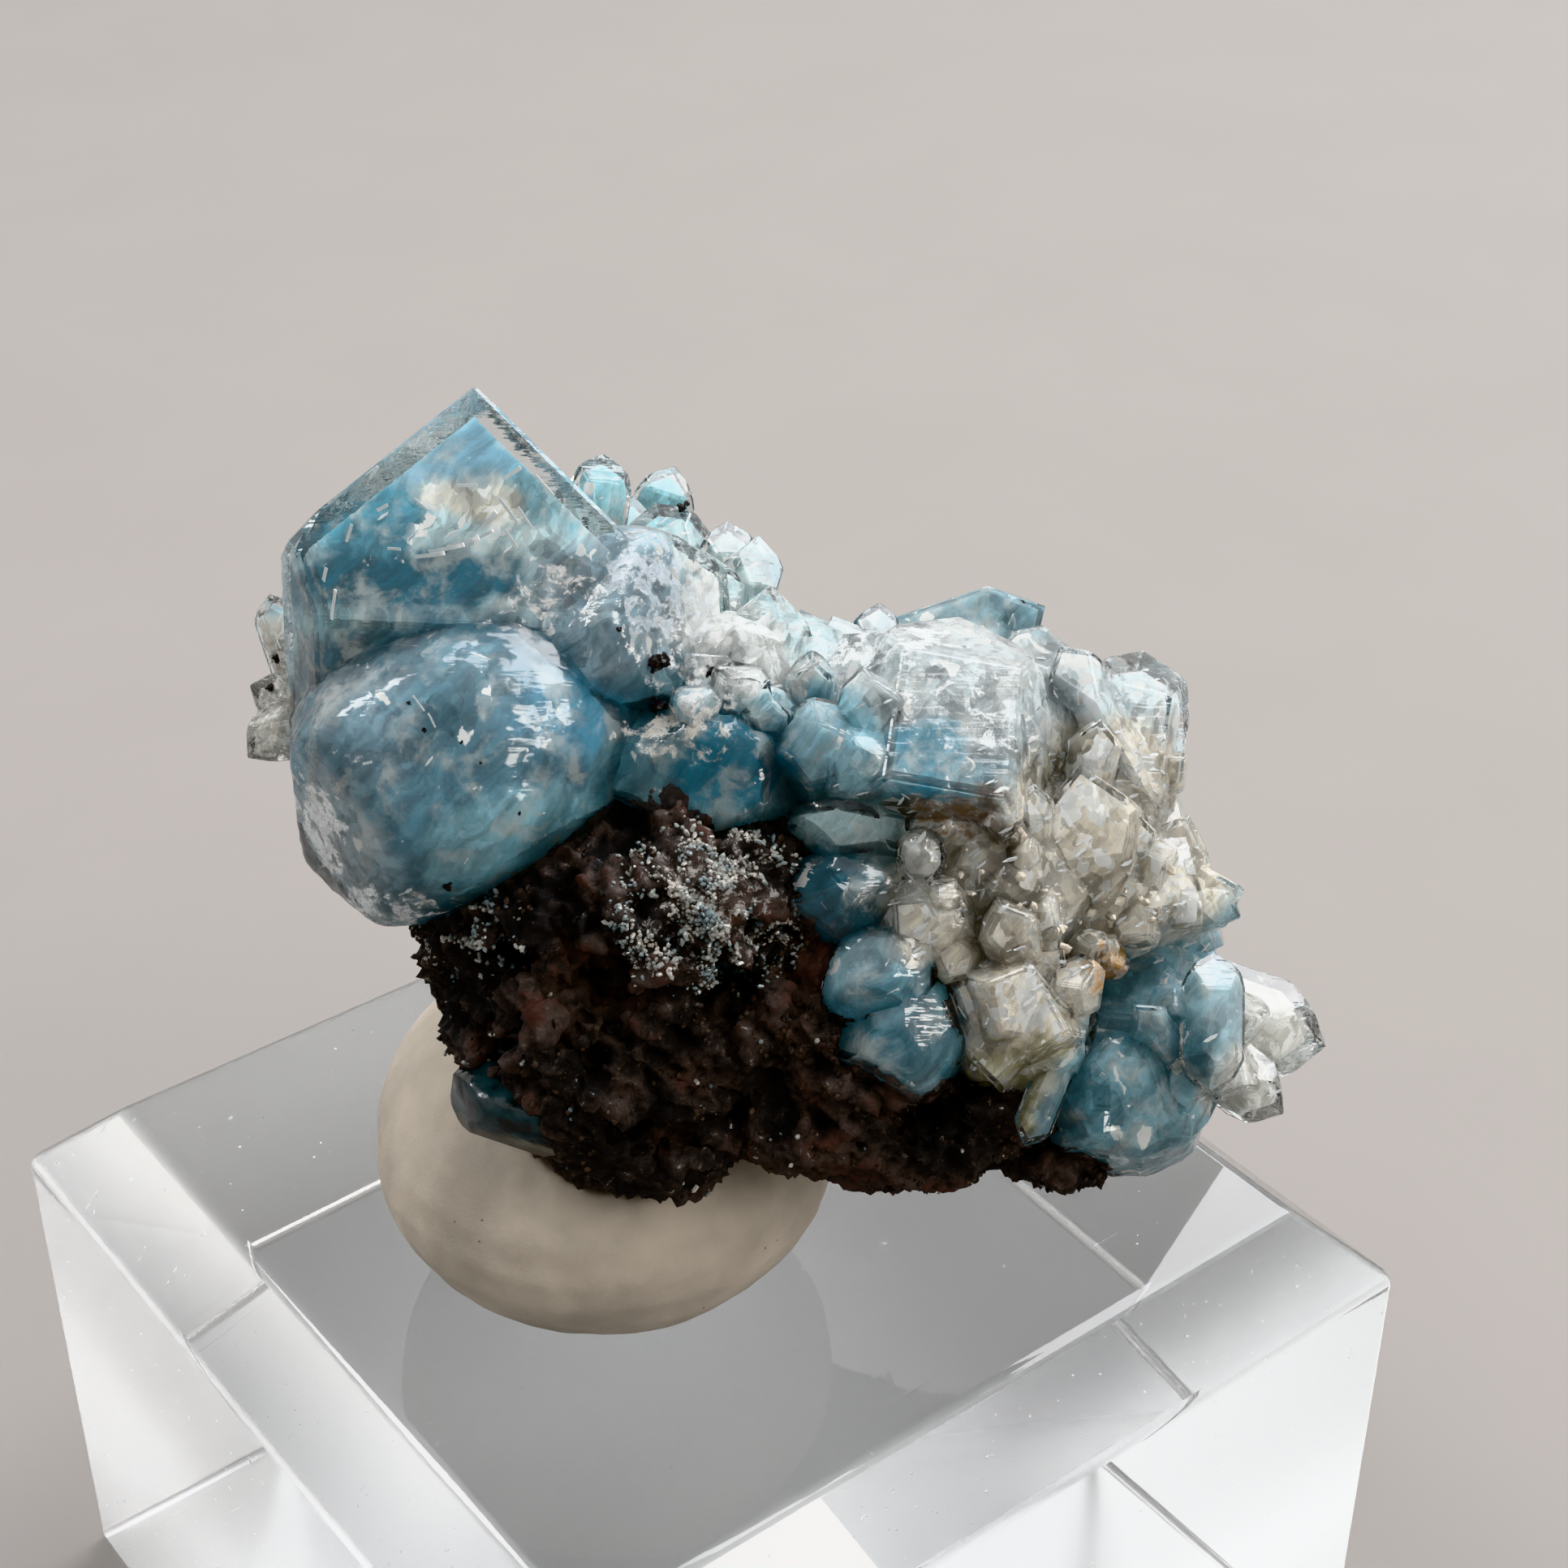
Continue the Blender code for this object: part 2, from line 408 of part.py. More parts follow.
def main():
    clear_scene()
    parts = collection_named("blue_quartz_on_stand")
    helpers = collection_named("helpers")
    helpers.hide_render = True

    acrylic = material("clear_acrylic", (0.95, 0.96, 0.97), 0.03, transmission=1.0, ior=1.49)
    tack = material("mineral_tack", (0.62, 0.57, 0.50), 0.85)
    rock = material("dark_rock", (0.035, 0.022, 0.016), 0.8)
    quartz = material("blue_quartz", (0.45, 0.68, 0.76), 0.1, transmission=0.8, ior=1.544)

    turntable = empty_named("turntable", parts, (0, 0, 0), (0, 0, FACE_TURN))
    seat = (SEAT_PLACE[0], SEAT_PLACE[1], BLOCK_HEIGHT + SEAT_HEIGHT)
    display = empty_named("display_face", parts, seat, (FACE_TILT, 0, 0), turntable)

    acrylic_block(parts, acrylic)
    holder = mineral_tack(parts, tack, turntable)
    joined(quartz_shapes(), "quartz_cluster", parts, quartz, display, helpers)
    matrix = joined(rock_shapes(), "matrix_rock", parts, rock, display, helpers)
    object_from(lower_lump(), "lower_crystal", parts, quartz, display)

    # Room for each neighbour, grown by the clearance, so that touching pieces keep their gap
    quartz_room = joined(quartz_shapes(CLEARANCE), "quartz_room", helpers, quartz, display, helpers)
    rock_room = joined(rock_shapes(CLEARANCE), "rock_room", helpers, rock, display, helpers)
    lump_room = object_from(lower_lump(CLEARANCE), "lump_room", helpers, quartz, display)
    for room in (quartz_room, rock_room, lump_room):
        helper(room)

    cut_from_rock = helper_collection("cut_from_rock", helpers)
    cut_from_rock.objects.link(quartz_room)
    cut_from_rock.objects.link(lump_room)
    for seed, (centre, radii) in enumerate(ROCK_PITS):
        pit = nodule(centre, radii, rough=0.15, seed=seed + 60, detail=2)
        helper(object_from(pit, f"pit_{seed}", cut_from_rock, rock, display))
    combine(matrix, "DIFFERENCE", cut_from_rock)

    pressed_in = helper_collection("pressed_into_tack", helpers)
    for room in (quartz_room, rock_room, lump_room):
        pressed_in.objects.link(room)
    combine(holder, "DIFFERENCE", pressed_in)


if __name__ == "__main__":
    main()
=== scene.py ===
"""Blue-included quartz on dark rock, held by mineral tack on a clear acrylic block: its looks.

The specimen's own display frame is in millimetres: X to the right, Y up and Z out of its best
face. TO_ROW takes that frame to the row frame in metres, where the CAD nodes are.
"""

import json
import math
import random

import bmesh
import bpy
import numpy as np
from mathutils import Euler, Matrix, Vector, noise
from mathutils.bvhtree import BVHTree

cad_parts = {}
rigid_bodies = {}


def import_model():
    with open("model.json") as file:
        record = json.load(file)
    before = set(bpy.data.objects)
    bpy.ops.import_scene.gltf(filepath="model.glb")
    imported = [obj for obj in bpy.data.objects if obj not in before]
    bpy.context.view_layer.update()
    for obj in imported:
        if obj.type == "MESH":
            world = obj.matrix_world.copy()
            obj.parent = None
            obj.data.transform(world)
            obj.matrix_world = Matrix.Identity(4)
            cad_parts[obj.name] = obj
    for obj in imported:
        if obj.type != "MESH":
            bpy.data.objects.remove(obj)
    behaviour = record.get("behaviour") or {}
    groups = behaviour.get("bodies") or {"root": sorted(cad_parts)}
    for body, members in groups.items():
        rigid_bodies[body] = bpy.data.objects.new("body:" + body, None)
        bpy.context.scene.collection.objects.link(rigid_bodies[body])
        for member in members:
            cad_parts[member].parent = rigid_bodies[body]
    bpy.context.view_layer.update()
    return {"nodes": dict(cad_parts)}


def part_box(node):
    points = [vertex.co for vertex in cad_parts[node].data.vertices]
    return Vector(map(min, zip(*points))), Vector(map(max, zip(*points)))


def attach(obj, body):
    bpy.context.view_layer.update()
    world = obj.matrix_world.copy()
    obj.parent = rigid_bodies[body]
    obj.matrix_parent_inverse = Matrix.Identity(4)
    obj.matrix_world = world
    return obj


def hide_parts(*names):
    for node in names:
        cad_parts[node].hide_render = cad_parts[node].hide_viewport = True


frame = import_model()

bl_info = {
    "name": "Blue quartz on a display block",
    "version": (1, 0, 0),
    "blender": (4, 5, 0),
    "location": "View3D > Sidebar > Quartz",
    "description": "Builds the looks of a blue-included quartz specimen around its packed solids",
    "category": "Object",
}

MM = 0.001
FACE_TILT = math.radians(56.4)
FACE_TURN = math.radians(-37.7)
SEAT = Vector((3.5, -5.0, 45.5))
RHOMB_ANGLE = math.radians(51.8)
BLOCK_TOP = 25.0

TURN = Matrix.Rotation(FACE_TURN, 4, "Z")
TO_ROW = Matrix.Scale(MM, 4) @ TURN @ Matrix.Translation(SEAT) @ Matrix.Rotation(FACE_TILT, 4, "X")

# Tip, axis, width, depth, length, turn about the axis, whether the foot tapers as well
CRYSTALS = (
    # Small crystals behind the tall one
    ((-6.2, 11.4, -5.0), (0.1, 1.0, -0.2), 2.2, 2.0, 6.0, 10, 0),
    ((-3.8, 11.2, -7.0), (0.3, 0.9, 0.0), 2.2, 1.8, 5.0, 0, 0),
    ((-5.2, 10.0, -5.5), (0.2, 0.95, 0.1), 1.8, 1.8, 4.0, 25, 0),
    ((-4.4, 9.6, -4.0), (-0.25, 0.9, -0.3), 3.2, 2.8, 6.0, 0, 0),
    ((-1.9, 8.9, -3.0), (0.0, 1.0, -0.1), 2.3, 2.2, 5.0, 12, 0),
    ((-0.8, 8.3, -2.0), (0.25, 0.9, 0.1), 2.4, 2.4, 6.0, 30, 0),
    ((-2.6, 7.6, 0.5), (0.0, 0.9, 0.3), 3.0, 2.6, 5.0, 20, 0),
    # Glassy crystals in the middle
    ((-0.4, 6.3, 3.0), (0.1, 0.88, 0.35), 3.4, 3.0, 5.5, 8, 0),
    ((-1.6, 5.0, 4.4), (-0.3, 0.75, 0.5), 2.4, 2.0, 4.5, 0, 0),
    ((-2.9, 4.0, 5.0), (-0.35, 0.6, 0.7), 2.4, 1.8, 4.5, 15, 0),
    ((-1.8, 3.2, 6.0), (-0.3, 0.3, 0.9), 2.2, 1.8, 4.0, 0, 0),
    ((3.2, 6.0, -1.0), (0.1, 0.97, 0.0), 1.9, 2.0, 4.0, 0, 0),
    ((1.6, 5.5, 0.0), (-0.2, 0.9, 0.0), 2.2, 2.2, 4.0, 30, 0),
    # The large milky crystal on the right and those beside it
    ((5.7, 5.4, 1.0), (0.15, 0.85, -0.5), 6.8, 5.4, 8.0, 0, 0),
    ((8.8, 5.9, -2.0), (0.92, 0.3, 0.2), 3.0, 3.2, 6.0, 30, 0),
    ((8.5, 5.2, 0.0), (0.25, 0.93, -0.3), 2.9, 3.0, 7.0, 10, 0),
    ((1.9, 4.8, 2.0), (-0.5, 0.8, -0.2), 3.4, 3.0, 6.0, 0, 0),
    ((1.0, 1.9, 7.2), (-0.1, 0.4, 0.9), 2.9, 2.6, 5.0, 0, 0),
    ((2.7, 3.2, 6.4), (0.0, 0.6, 0.8), 2.4, 2.2, 5.0, 15, 0),
    ((8.8, 4.4, 2.0), (-0.5, 0.85, 0.1), 1.9, 3.0, 6.0, 0, 0),
    ((7.4, 2.4, 5.2), (0.3, 0.7, 0.6), 2.4, 2.2, 5.0, 20, 0),
    ((9.9, 2.0, 4.2), (0.1, 0.8, 0.6), 1.8, 1.8, 4.0, 0, 0),
    ((11.9, 4.4, -1.0), (0.2, 0.9, -0.4), 4.1, 3.4, 7.0, 4, 0),
    ((10.9, 2.6, 1.6), (0.35, 0.9, 0.1), 2.0, 2.0, 5.0, 30, 0),
    # Beige crystals down the right side
    ((9.2, 0.6, 4.6), (-0.12, 0.88, 0.45), 4.0, 3.6, 5.6, 0, 0.6),
    ((7.7, 0.0, 5.4), (0.0, 0.92, 0.4), 1.4, 1.3, 4.5, 10, 0),
    ((6.7, -1.9, 6.3), (0.05, -0.8, 0.6), 1.6, 1.4, 3.5, 0, 0),
    ((13.0, -1.0, 2.0), (0.45, 0.85, 0.25), 3.2, 3.0, 6.0, 15, 0),
    ((14.8, -3.4, 2.0), (0.92, 0.15, 0.3), 2.8, 2.8, 6.0, 20, 0),
    ((14.6, -4.3, 2.4), (0.8, -0.35, 0.4), 1.8, 1.8, 4.0, 0, 0),
    ((6.6, -3.7, 6.9), (-0.25, 0.6, 0.75), 2.2, 1.8, 4.5, 0, 0),
    ((3.3, -3.6, 6.4), (-0.6, 0.5, 0.6), 2.2, 2.0, 4.5, 0, 0),
    ((8.6, -5.0, 5.8), (0.5, 0.5, 0.7), 2.0, 1.8, 4.5, 10, 0),
    ((6.2, -6.0, 7.2), (-0.35, 0.35, 0.85), 3.0, 2.4, 5.0, 20, 0),
    ((8.6, -7.6, 6.8), (0.4, -0.1, 0.9), 3.0, 2.8, 5.0, 0, 0),
    ((6.4, -9.2, 6.3), (-0.2, -0.6, 0.75), 3.0, 2.4, 4.5, 25, 0),
    ((7.4, -11.2, 5.6), (-0.38, -0.85, 0.3), 1.2, 1.0, 3.2, 0, 0),
    # Short crystals that fill the right side
    ((7.5, -2.0, 6.4), (0.2, 0.3, 0.9), 1.3, 1.2, 2.5, 10, 0),
    ((5.4, -0.6, 6.0), (-0.2, 0.3, 0.9), 1.4, 1.2, 2.5, 0, 0),
    ((6.2, -1.2, 5.8), (0.3, 0.1, 0.95), 1.1, 1.0, 2.5, 0, 0),
    ((4.6, -3.0, 6.6), (-0.3, 0.5, 0.8), 1.3, 1.2, 2.5, 25, 0),
    ((5.8, -2.4, 5.6), (0.0, 0.2, 1.0), 1.5, 1.4, 2.5, 0, 0),
    ((8.2, -3.8, 6.4), (0.3, 0.3, 0.9), 1.5, 1.4, 3.0, 15, 0),
    ((10.2, -5.6, 5.0), (0.2, -0.1, 0.97), 1.7, 1.6, 3.0, 0, 0),
    ((9.4, -5.0, 5.6), (-0.1, 0.2, 0.95), 1.4, 1.3, 3.0, 20, 0),
    ((11.4, -4.8, 4.6), (0.3, -0.3, 0.9), 1.9, 1.7, 3.0, 0, 0),
    ((13.2, -4.6, 3.4), (0.5, -0.6, 0.6), 1.7, 1.5, 3.0, 10, 0),
    ((12.0, -2.4, 4.4), (0.4, 0.2, 0.9), 2.1, 1.9, 3.5, 0, 0),
    ((11.1, -1.0, 4.6), (0.2, 0.6, 0.75), 1.8, 1.6, 3.5, 25, 0),
    ((9.1, -6.2, 6.6), (0.1, 0.1, 1.0), 2.1, 1.9, 3.5, 5, 0),
    ((4.6, -5.2, 6.4), (-0.4, 0.1, 0.9), 1.9, 1.7, 3.0, 0, 0),
    ((15.2, -7.4, 3.0), (0.5, 0.1, 0.85), 2.1, 1.9, 3.0, 0, 0),
    ((14.6, -9.6, 3.8), (0.3, -0.3, 0.9), 1.9, 1.7, 3.0, 20, 0),
    ((12.2, -7.0, 4.8), (0.0, 0.1, 1.0), 1.7, 1.5, 3.0, 0, 0),
    ((12.9, 0.8, 1.8), (0.5, 0.4, 0.75), 1.8, 1.6, 3.0, 0, 0),
    ((-2.9, 2.4, 6.4), (-0.2, 0.1, 1.0), 1.7, 1.5, 3.0, 0, 0),
    ((-0.3, 2.6, 6.2), (0.1, 0.3, 0.9), 1.9, 1.7, 3.0, 20, 0),
    ((0.9, 3.9, 5.0), (0.0, 0.6, 0.8), 1.7, 1.5, 3.0, 0, 0),
    # Crystals at the lower right end
    ((12.2, -5.8, 3.0), (-0.1, 0.88, 0.3), 2.2, 2.2, 4.8, 0, 0),
    ((10.9, -6.9, 4.8), (-0.5, 0.6, 0.5), 1.5, 1.4, 3.6, 0, 0),
    ((13.5, -5.3, 3.6), (0.05, 0.93, -0.25), 2.1, 2.2, 4.6, 0, 1),
    ((17.7, -8.6, 0.5), (0.9, -0.3, 0.1), 3.4, 3.2, 6.5, 10, 0),
    ((15.4, -6.3, 0.5), (0.5, 0.8, 0.1), 2.4, 2.4, 5.0, 0, 0),
    ((16.0, -10.6, 2.2), (0.75, -0.6, 0.25), 2.4, 2.2, 4.5, 15, 0),
    ((12.6, -10.4, 4.2), (0.1, -0.7, 0.6), 1.9, 1.6, 3.5, 0, 0),
    # Small crystals at the left end
    ((-16.5, 4.6, 1.0), (-0.6, 0.3, 0.7), 1.4, 1.3, 3.0, 0, 0),
    ((-16.2, 2.7, 1.8), (-0.5, -0.1, 0.85), 1.3, 1.2, 3.0, 20, 0),
    ((-16.5, 1.2, 2.2), (-0.5, -0.3, 0.8), 1.4, 1.3, 3.0, 0, 0),
    ((-17.0, 6.3, -1.0), (-0.3, 0.93, 0.1), 1.7, 1.6, 5.0, 0, 0),
    ((-17.4, 3.2, 0.5), (-0.85, 0.4, 0.25), 1.9, 1.8, 4.0, 10, 0),
    ((-17.3, 0.8, 1.4), (-0.7, -0.6, 0.3), 2.0, 1.9, 4.5, 0, 0),
    ((-17.6, 2.0, -0.6), (-0.95, 0.05, -0.2), 1.7, 1.6, 4.0, 25, 0),
    # Crystals round the back
    ((-12.5, 5.0, -7.5), (-0.5, 0.4, -0.8), 4.4, 4.0, 8.0, 0, 0),
    ((-8.0, 7.6, -8.0), (-0.1, 0.6, -0.8), 3.8, 3.6, 7.0, 20, 0),
    ((-3.0, 4.6, -10.0), (0.1, 0.4, -0.9), 4.4, 4.2, 8.0, 5, 0),
    ((2.0, 4.0, -8.6), (0.2, 0.5, -0.85), 3.8, 3.4, 7.0, 30, 0),
    ((6.0, 4.2, -6.6), (0.3, 0.6, -0.7), 3.4, 3.2, 6.5, 10, 0),
    ((10.2, 2.2, -7.2), (0.5, 0.4, -0.75), 3.8, 3.6, 7.0, 0, 0),
    ((14.0, -1.8, -5.4), (0.8, 0.3, -0.5), 3.2, 3.0, 6.5, 15, 0),
    ((15.0, -6.8, -4.6), (0.85, -0.1, -0.5), 3.4, 3.0, 6.5, 0, 0),
    ((10.4, -6.0, -7.4), (0.4, -0.2, -0.9), 3.8, 3.4, 6.5, 20, 0),
    ((4.6, -0.6, -9.0), (0.15, 0.05, -1.0), 3.4, 3.2, 5.5, 0, 0),
    ((-8.0, 1.6, -9.2), (-0.2, -0.1, -1.0), 3.6, 3.4, 6.0, 12, 0),
    ((-14.4, 0.4, -5.0), (-0.8, -0.15, -0.6), 3.6, 3.2, 7.0, 0, 0),
    ((0.6, 6.0, -4.6), (0.0, 0.9, -0.4), 2.8, 2.6, 6.0, 25, 0),
    ((3.4, 5.6, -3.6), (0.2, 0.95, -0.2), 2.4, 2.4, 5.0, 0, 0),
)

# Centre, radii, tilt, low domed cuts as direction and distance, roughness, relief of the broken
# surface, number of flat crystal faces on it
QUARTZ_LUMPS = (
    ((-10.2, 0.6, 3.0), (6.2, 4.8, 5.6), 25,
     (((-0.1, 0.1, 1.0), 5.1), ((-1.0, -0.05, 0.1), 5.2), ((-0.75, -0.45, 0.5), 4.75)), 0.06, 0.05, 3),
    ((-5.4, 4.9, 3.2), (4.4, 3.0, 3.8), 22,
     (((0.75, 0.1, 0.65), 2.4), ((-0.45, 0.5, 0.75), 2.6), ((0.1, -0.3, 1.0), 3.1)), 0.1, 0.09, 12),
    ((-2.6, 0.4, 3.2), (3.7, 2.5, 3.2), 5, (((0.0, -0.1, 1.0), 2.7),), 0.12, 0.1, 7),
    ((2.2, 0.6, 5.4), (1.5, 1.3, 1.7), 0, (), 0.12, 0.08, 9),
    ((2.1, -1.4, 4.8), (2.1, 1.2, 1.9), -10, (((0.0, 0.0, 1.0), 1.5),), 0.1, 0.06, 9),
    ((1.9, -3.6, 4.5), (2.4, 1.9, 2.3), 20, (), 0.1, 0.06, 14),
    ((4.2, -2.2, 6.2), (0.75, 0.85, 0.8), 0, (), 0.1, 0.03, 0),
    ((5.0, -1.4, 4.0), (2.4, 1.8, 1.8), 0, (), 0.25, 0.14, 10),
    ((4.3, -4.1, 4.8), (2.0, 1.5, 1.9), -10, (((0.0, 0.3, 1.0), 1.5),), 0.12, 0.08, 9),
    ((3.0, -6.0, 4.9), (2.1, 1.9, 2.2), 20, (), 0.1, 0.07, 14),
    ((3.6, -7.7, 4.6), (2.2, 2.3, 2.6), 0,
     (((-0.3, -0.2, 1.0), 2.1), ((-0.5, -0.8, 0.3), 1.9)), 0.08, 0.05, 12),
    ((7.0, -7.2, 4.0), (2.9, 2.6, 2.6), -10,
     (((0.0, -0.6, 0.8), 2.1), ((-0.1, 0.3, 0.9), 2.2)), 0.1, 0.1, 12),
    ((10.8, -9.9, 2.2), (3.1, 2.7, 3.0), 20,
     (((0.1, -0.1, 1.0), 2.4), ((-0.2, -0.9, 0.4), 2.3)), 0.1, 0.08, 10),
    ((-9.0, 1.0, -1.0), (6.2, 4.8, 5.6), 0, (), 0.08, 0.08, 8),
    ((-2.0, 1.8, -2.0), (6.4, 4.2, 6.0), 0, (), 0.08, 0.08, 10),
    ((-2.0, 3.7, 2.4), (2.4, 1.8, 2.2), 0, (), 0.08, 0.08, 8),
    ((5.0, 0.4, -1.2), (6.2, 4.3, 5.4), 0, (), 0.08, 0.08, 12),
    ((10.0, -3.4, -0.6), (4.8, 4.8, 4.8), 0, (), 0.08, 0.08, 12),
    ((10.0, -8.0, 0.0), (5.4, 3.4, 4.4), 0, (), 0.08, 0.08, 12),
    ((7.0, -2.9, 2.4), (3.6, 3.8, 3.6), 0, (), 0.1, 0.1, 14),
)
LOWER_LUMP = ((-8.2, -10.3, 2.2), (2.6, 1.6, 2.3), -15, (), 0.1, 0.05, 6)
ROCK_LUMPS = (
    ((-4.3, -5.3, 0.6), (7.3, 6.0, 6.4), 0, (), 0.16, 0, 0),
    ((-4.8, -9.7, 0.6), (4.8, 3.4, 4.8), -8, (), 0.14, 0, 0),
    ((2.6, -8.0, 1.2), (5.0, 4.4, 4.8), 0, (), 0.16, 0, 0),
    ((3.2, -10.2, 0.6), (6.2, 2.7, 4.8), 0, (), 0.14, 0, 0),
    ((9.0, -12.0, 1.0), (2.0, 1.1, 1.8), 0, (), 0.12, 0, 0),
    ((0.0, -5.0, -4.0), (9.6, 5.4, 5.0), 0, (), 0.14, 0, 0),
    ((7.6, -8.0, -3.2), (5.4, 3.6, 4.0), 0, (), 0.14, 0, 0),
)
ROCK_PITS = (
    ((-5.5, -6.6, 7.0), (1.9, 2.0, 2.6)),
    ((-1.5, -6.6, 6.6), (1.5, 2.1, 2.6)),
    ((-3.6, -11.2, 4.8), (1.6, 0.8, 1.8)),
    ((0.2, -5.0, 6.0), (1.3, 1.0, 1.8)),
    ((4.4, -10.4, 5.2), (2.1, 0.9, 1.8)),
    ((-8.6, -5.2, 5.0), (1.1, 0.8, 1.6)),
    ((-9.0, -8.2, 3.4), (0.9, 0.9, 1.4)),
    ((2.2, -8.0, 5.8), (0.9, 1.2, 1.4)),
)

# Inclusion zones in the display frame: centre, radii, colour of the inclusions there, and from 0,
# an even haze, to 1, crowded with small buried crystals
CLOUD_ZONES = (
    ((-9.0, 9.0, 2.0), (6.5, 6.0, 7.0), "#BCD3D6", 0.6),
    ((-13.0, 8.4, 4.0), (1.9, 1.6, 5.0), "#4E97AC", 0.4),
    ((-9.6, 9.2, 5.0), (1.9, 1.1, 4.0), "#DDD9CC", 0.8),
    ((-6.8, 9.4, 4.0), (1.8, 1.5, 4.0), "#86B9C6", 0.5),
    ((-9.7, 13.5, 4.0), (7.0, 4.2, 8.0), "#82B2C6", 0.0),
    ((-11.6, 6.2, 3.0), (4.0, 1.1, 6.0), "#06697F", 0.15),
    ((-12.3, 4.2, 2.0), (5.0, 0.9, 8.0), "#9CC3C8", 0.6),
    ((-10.3, 0.9, 3.0), (7.0, 4.6, 7.0), "#547B8A", 0.3),
    ((-12.4, 1.8, 5.0), (1.6, 2.6, 4.0), "#62808D", 0.35),
    ((-13.4, -1.8, 4.0), (2.2, 2.4, 4.0), "#7B97A1", 0.45),
    ((-8.2, -2.0, 5.0), (2.8, 2.2, 4.0), "#7FA9B5", 0.4),
    ((-6.8, 1.9, 5.0), (2.0, 1.5, 3.0), "#5490A9", 0.1),
    ((-5.0, 5.6, 4.0), (3.0, 2.4, 4.0), "#8BA3AE", 0.6),
    ((-2.7, 0.2, 4.0), (3.8, 2.4, 4.0), "#668C97", 0.35),
    ((-1.4, 0.7, 5.0), (1.9, 1.4, 3.0), "#0A6B82", 0.15),
    ((-4.5, 9.8, -5.5), (3.4, 2.4, 5.0), "#8CC0C9", 0.6),
    ((-3.0, 6.9, 0.0), (3.0, 2.6, 4.0), "#BCD2D4", 0.9),
    ((-0.8, 5.0, 4.0), (2.8, 2.4, 3.6), "#E4E8E5", 1.0),
    ((1.6, 5.0, 1.0), (2.2, 2.0, 4.0), "#B9CDD1", 0.8),
    ((5.7, 2.7, 2.6), (4.3, 3.5, 5.2), "#CAD3D5", 0.8),
    ((4.3, 0.9, 5.0), (1.3, 1.2, 3.0), "#5FA6BD", 0.2),
    ((1.2, 1.9, 6.0), (1.6, 1.4, 3.0), "#93BCC9", 0.5),
    ((2.0, -1.5, 5.0), (2.2, 1.3, 3.0), "#97ADAF", 0.4),
    ((1.4, -3.6, 4.0), (2.2, 1.8, 4.0), "#345F6E", 0.4),
    ((11.5, 3.6, -1.0), (3.0, 2.6, 5.0), "#CAD8DC", 0.9),
    ((10.6, -1.6, 3.5), (4.4, 3.8, 5.0), "#EAE1D0", 1.0),
    ((6.4, -4.0, 5.0), (3.4, 2.8, 4.5), "#E0D8C8", 1.0),
    ((6.9, -6.8, 6.0), (2.6, 2.4, 4.0), "#E9DFCD", 1.0),
    ((7.6, -9.2, 6.0), (2.0, 1.4, 3.0), "#BDB694", 0.8),
    ((3.4, -7.4, 5.0), (2.2, 2.3, 3.0), "#5D8795", 0.45),
    ((10.8, -9.9, 3.5), (3.2, 2.4, 4.0), "#7CA5B1", 0.5),
    ((15.6, -8.4, 2.0), (3.2, 3.0, 4.0), "#EEEDE4", 0.9),
    ((13.6, -6.6, 3.8), (1.2, 2.0, 2.0), "#A3C1CA", 0.3),
    ((10.4, -5.9, 5.4), (1.1, 0.9, 2.0), "#B8935C", 1.0),
    ((5.2, -0.8, 5.0), (2.0, 0.7, 3.0), "#85786A", 1.0),
    ((6.8, -1.9, 5.6), (0.7, 0.8, 2.0), "#857A69", 1.0),
    ((4.2, -2.6, 6.4), (1.1, 0.9, 2.0), "#C9C8C0", 1.0),
    ((-17.0, 2.2, 0.0), (2.2, 3.4, 4.0), "#D9D5CA", 1.0),
    ((-3.0, 2.0, -9.0), (9.0, 6.0, 4.0), "#8FB6C2", 0.6),
    ((10.0, -2.0, -7.0), (6.0, 5.0, 4.0), "#BECBCD", 0.8),
)
# Where the surface is frosted by bruises and etching, and in one zone painted white as a highlight: centre, radii,
# colour, how much
FROST_AND_HIGHLIGHT_ZONES = (
    ((-4.1, 5.7, 4.6), (1.9, 1.9, 2.4), "#A9B6BF", 0.6),
    ((-7.1, 5.8, 5.2), (1.7, 1.1, 2.0), "#BDBAB5", 0.45),
    ((-14.5, -1.5, 5.0), (1.0, 1.5, 3.0), "#EEF2F3", 0.8),
    ((-12.2, -3.7, 4.4), (1.9, 0.9, 3.0), "#E4EBED", 0.65),
    ((-3.2, 1.6, 6.0), (1.9, 0.8, 2.0), "#C4BEB2", 0.5),
    ((-2.7, 3.4, 5.8), (1.6, 1.2, 2.0), "#EDEFEF", 0.45),
    ((5.7, 1.9, 4.0), (2.6, 2.0, 3.6), "#CCD4D6", 0.3),
    # A painted highlight: the white band where the top faces of the crystals catch the light
    ((3.3, 4.3, 4.0), (2.5, 0.6, 4.0), "#EEF3F3", 0.6),
    ((10.3, -2.1, 4.0), (3.2, 3.0, 4.0), "#D3C9BA", 0.2),
    ((6.2, -4.3, 6.0), (3.4, 1.4, 3.0), "#D0C7B8", 0.25),
    ((7.0, -6.9, 6.5), (2.5, 1.8, 3.0), "#CDC3B2", 0.2),
    ((7.9, -9.2, 6.0), (1.7, 1.0, 2.4), "#ADA485", 0.35),
    ((5.1, -0.9, 6.0), (1.5, 0.6, 2.4), "#85735E", 0.8),
    ((15.4, -8.2, 3.0), (2.4, 2.4, 3.0), "#E0DED4", 0.25),
    ((-16.6, 2.6, 1.0), (1.6, 3.0, 3.0), "#DAD6CD", 0.35),
    ((10.4, -5.9, 5.6), (1.1, 0.9, 2.0), "#B08B57", 0.7),
)
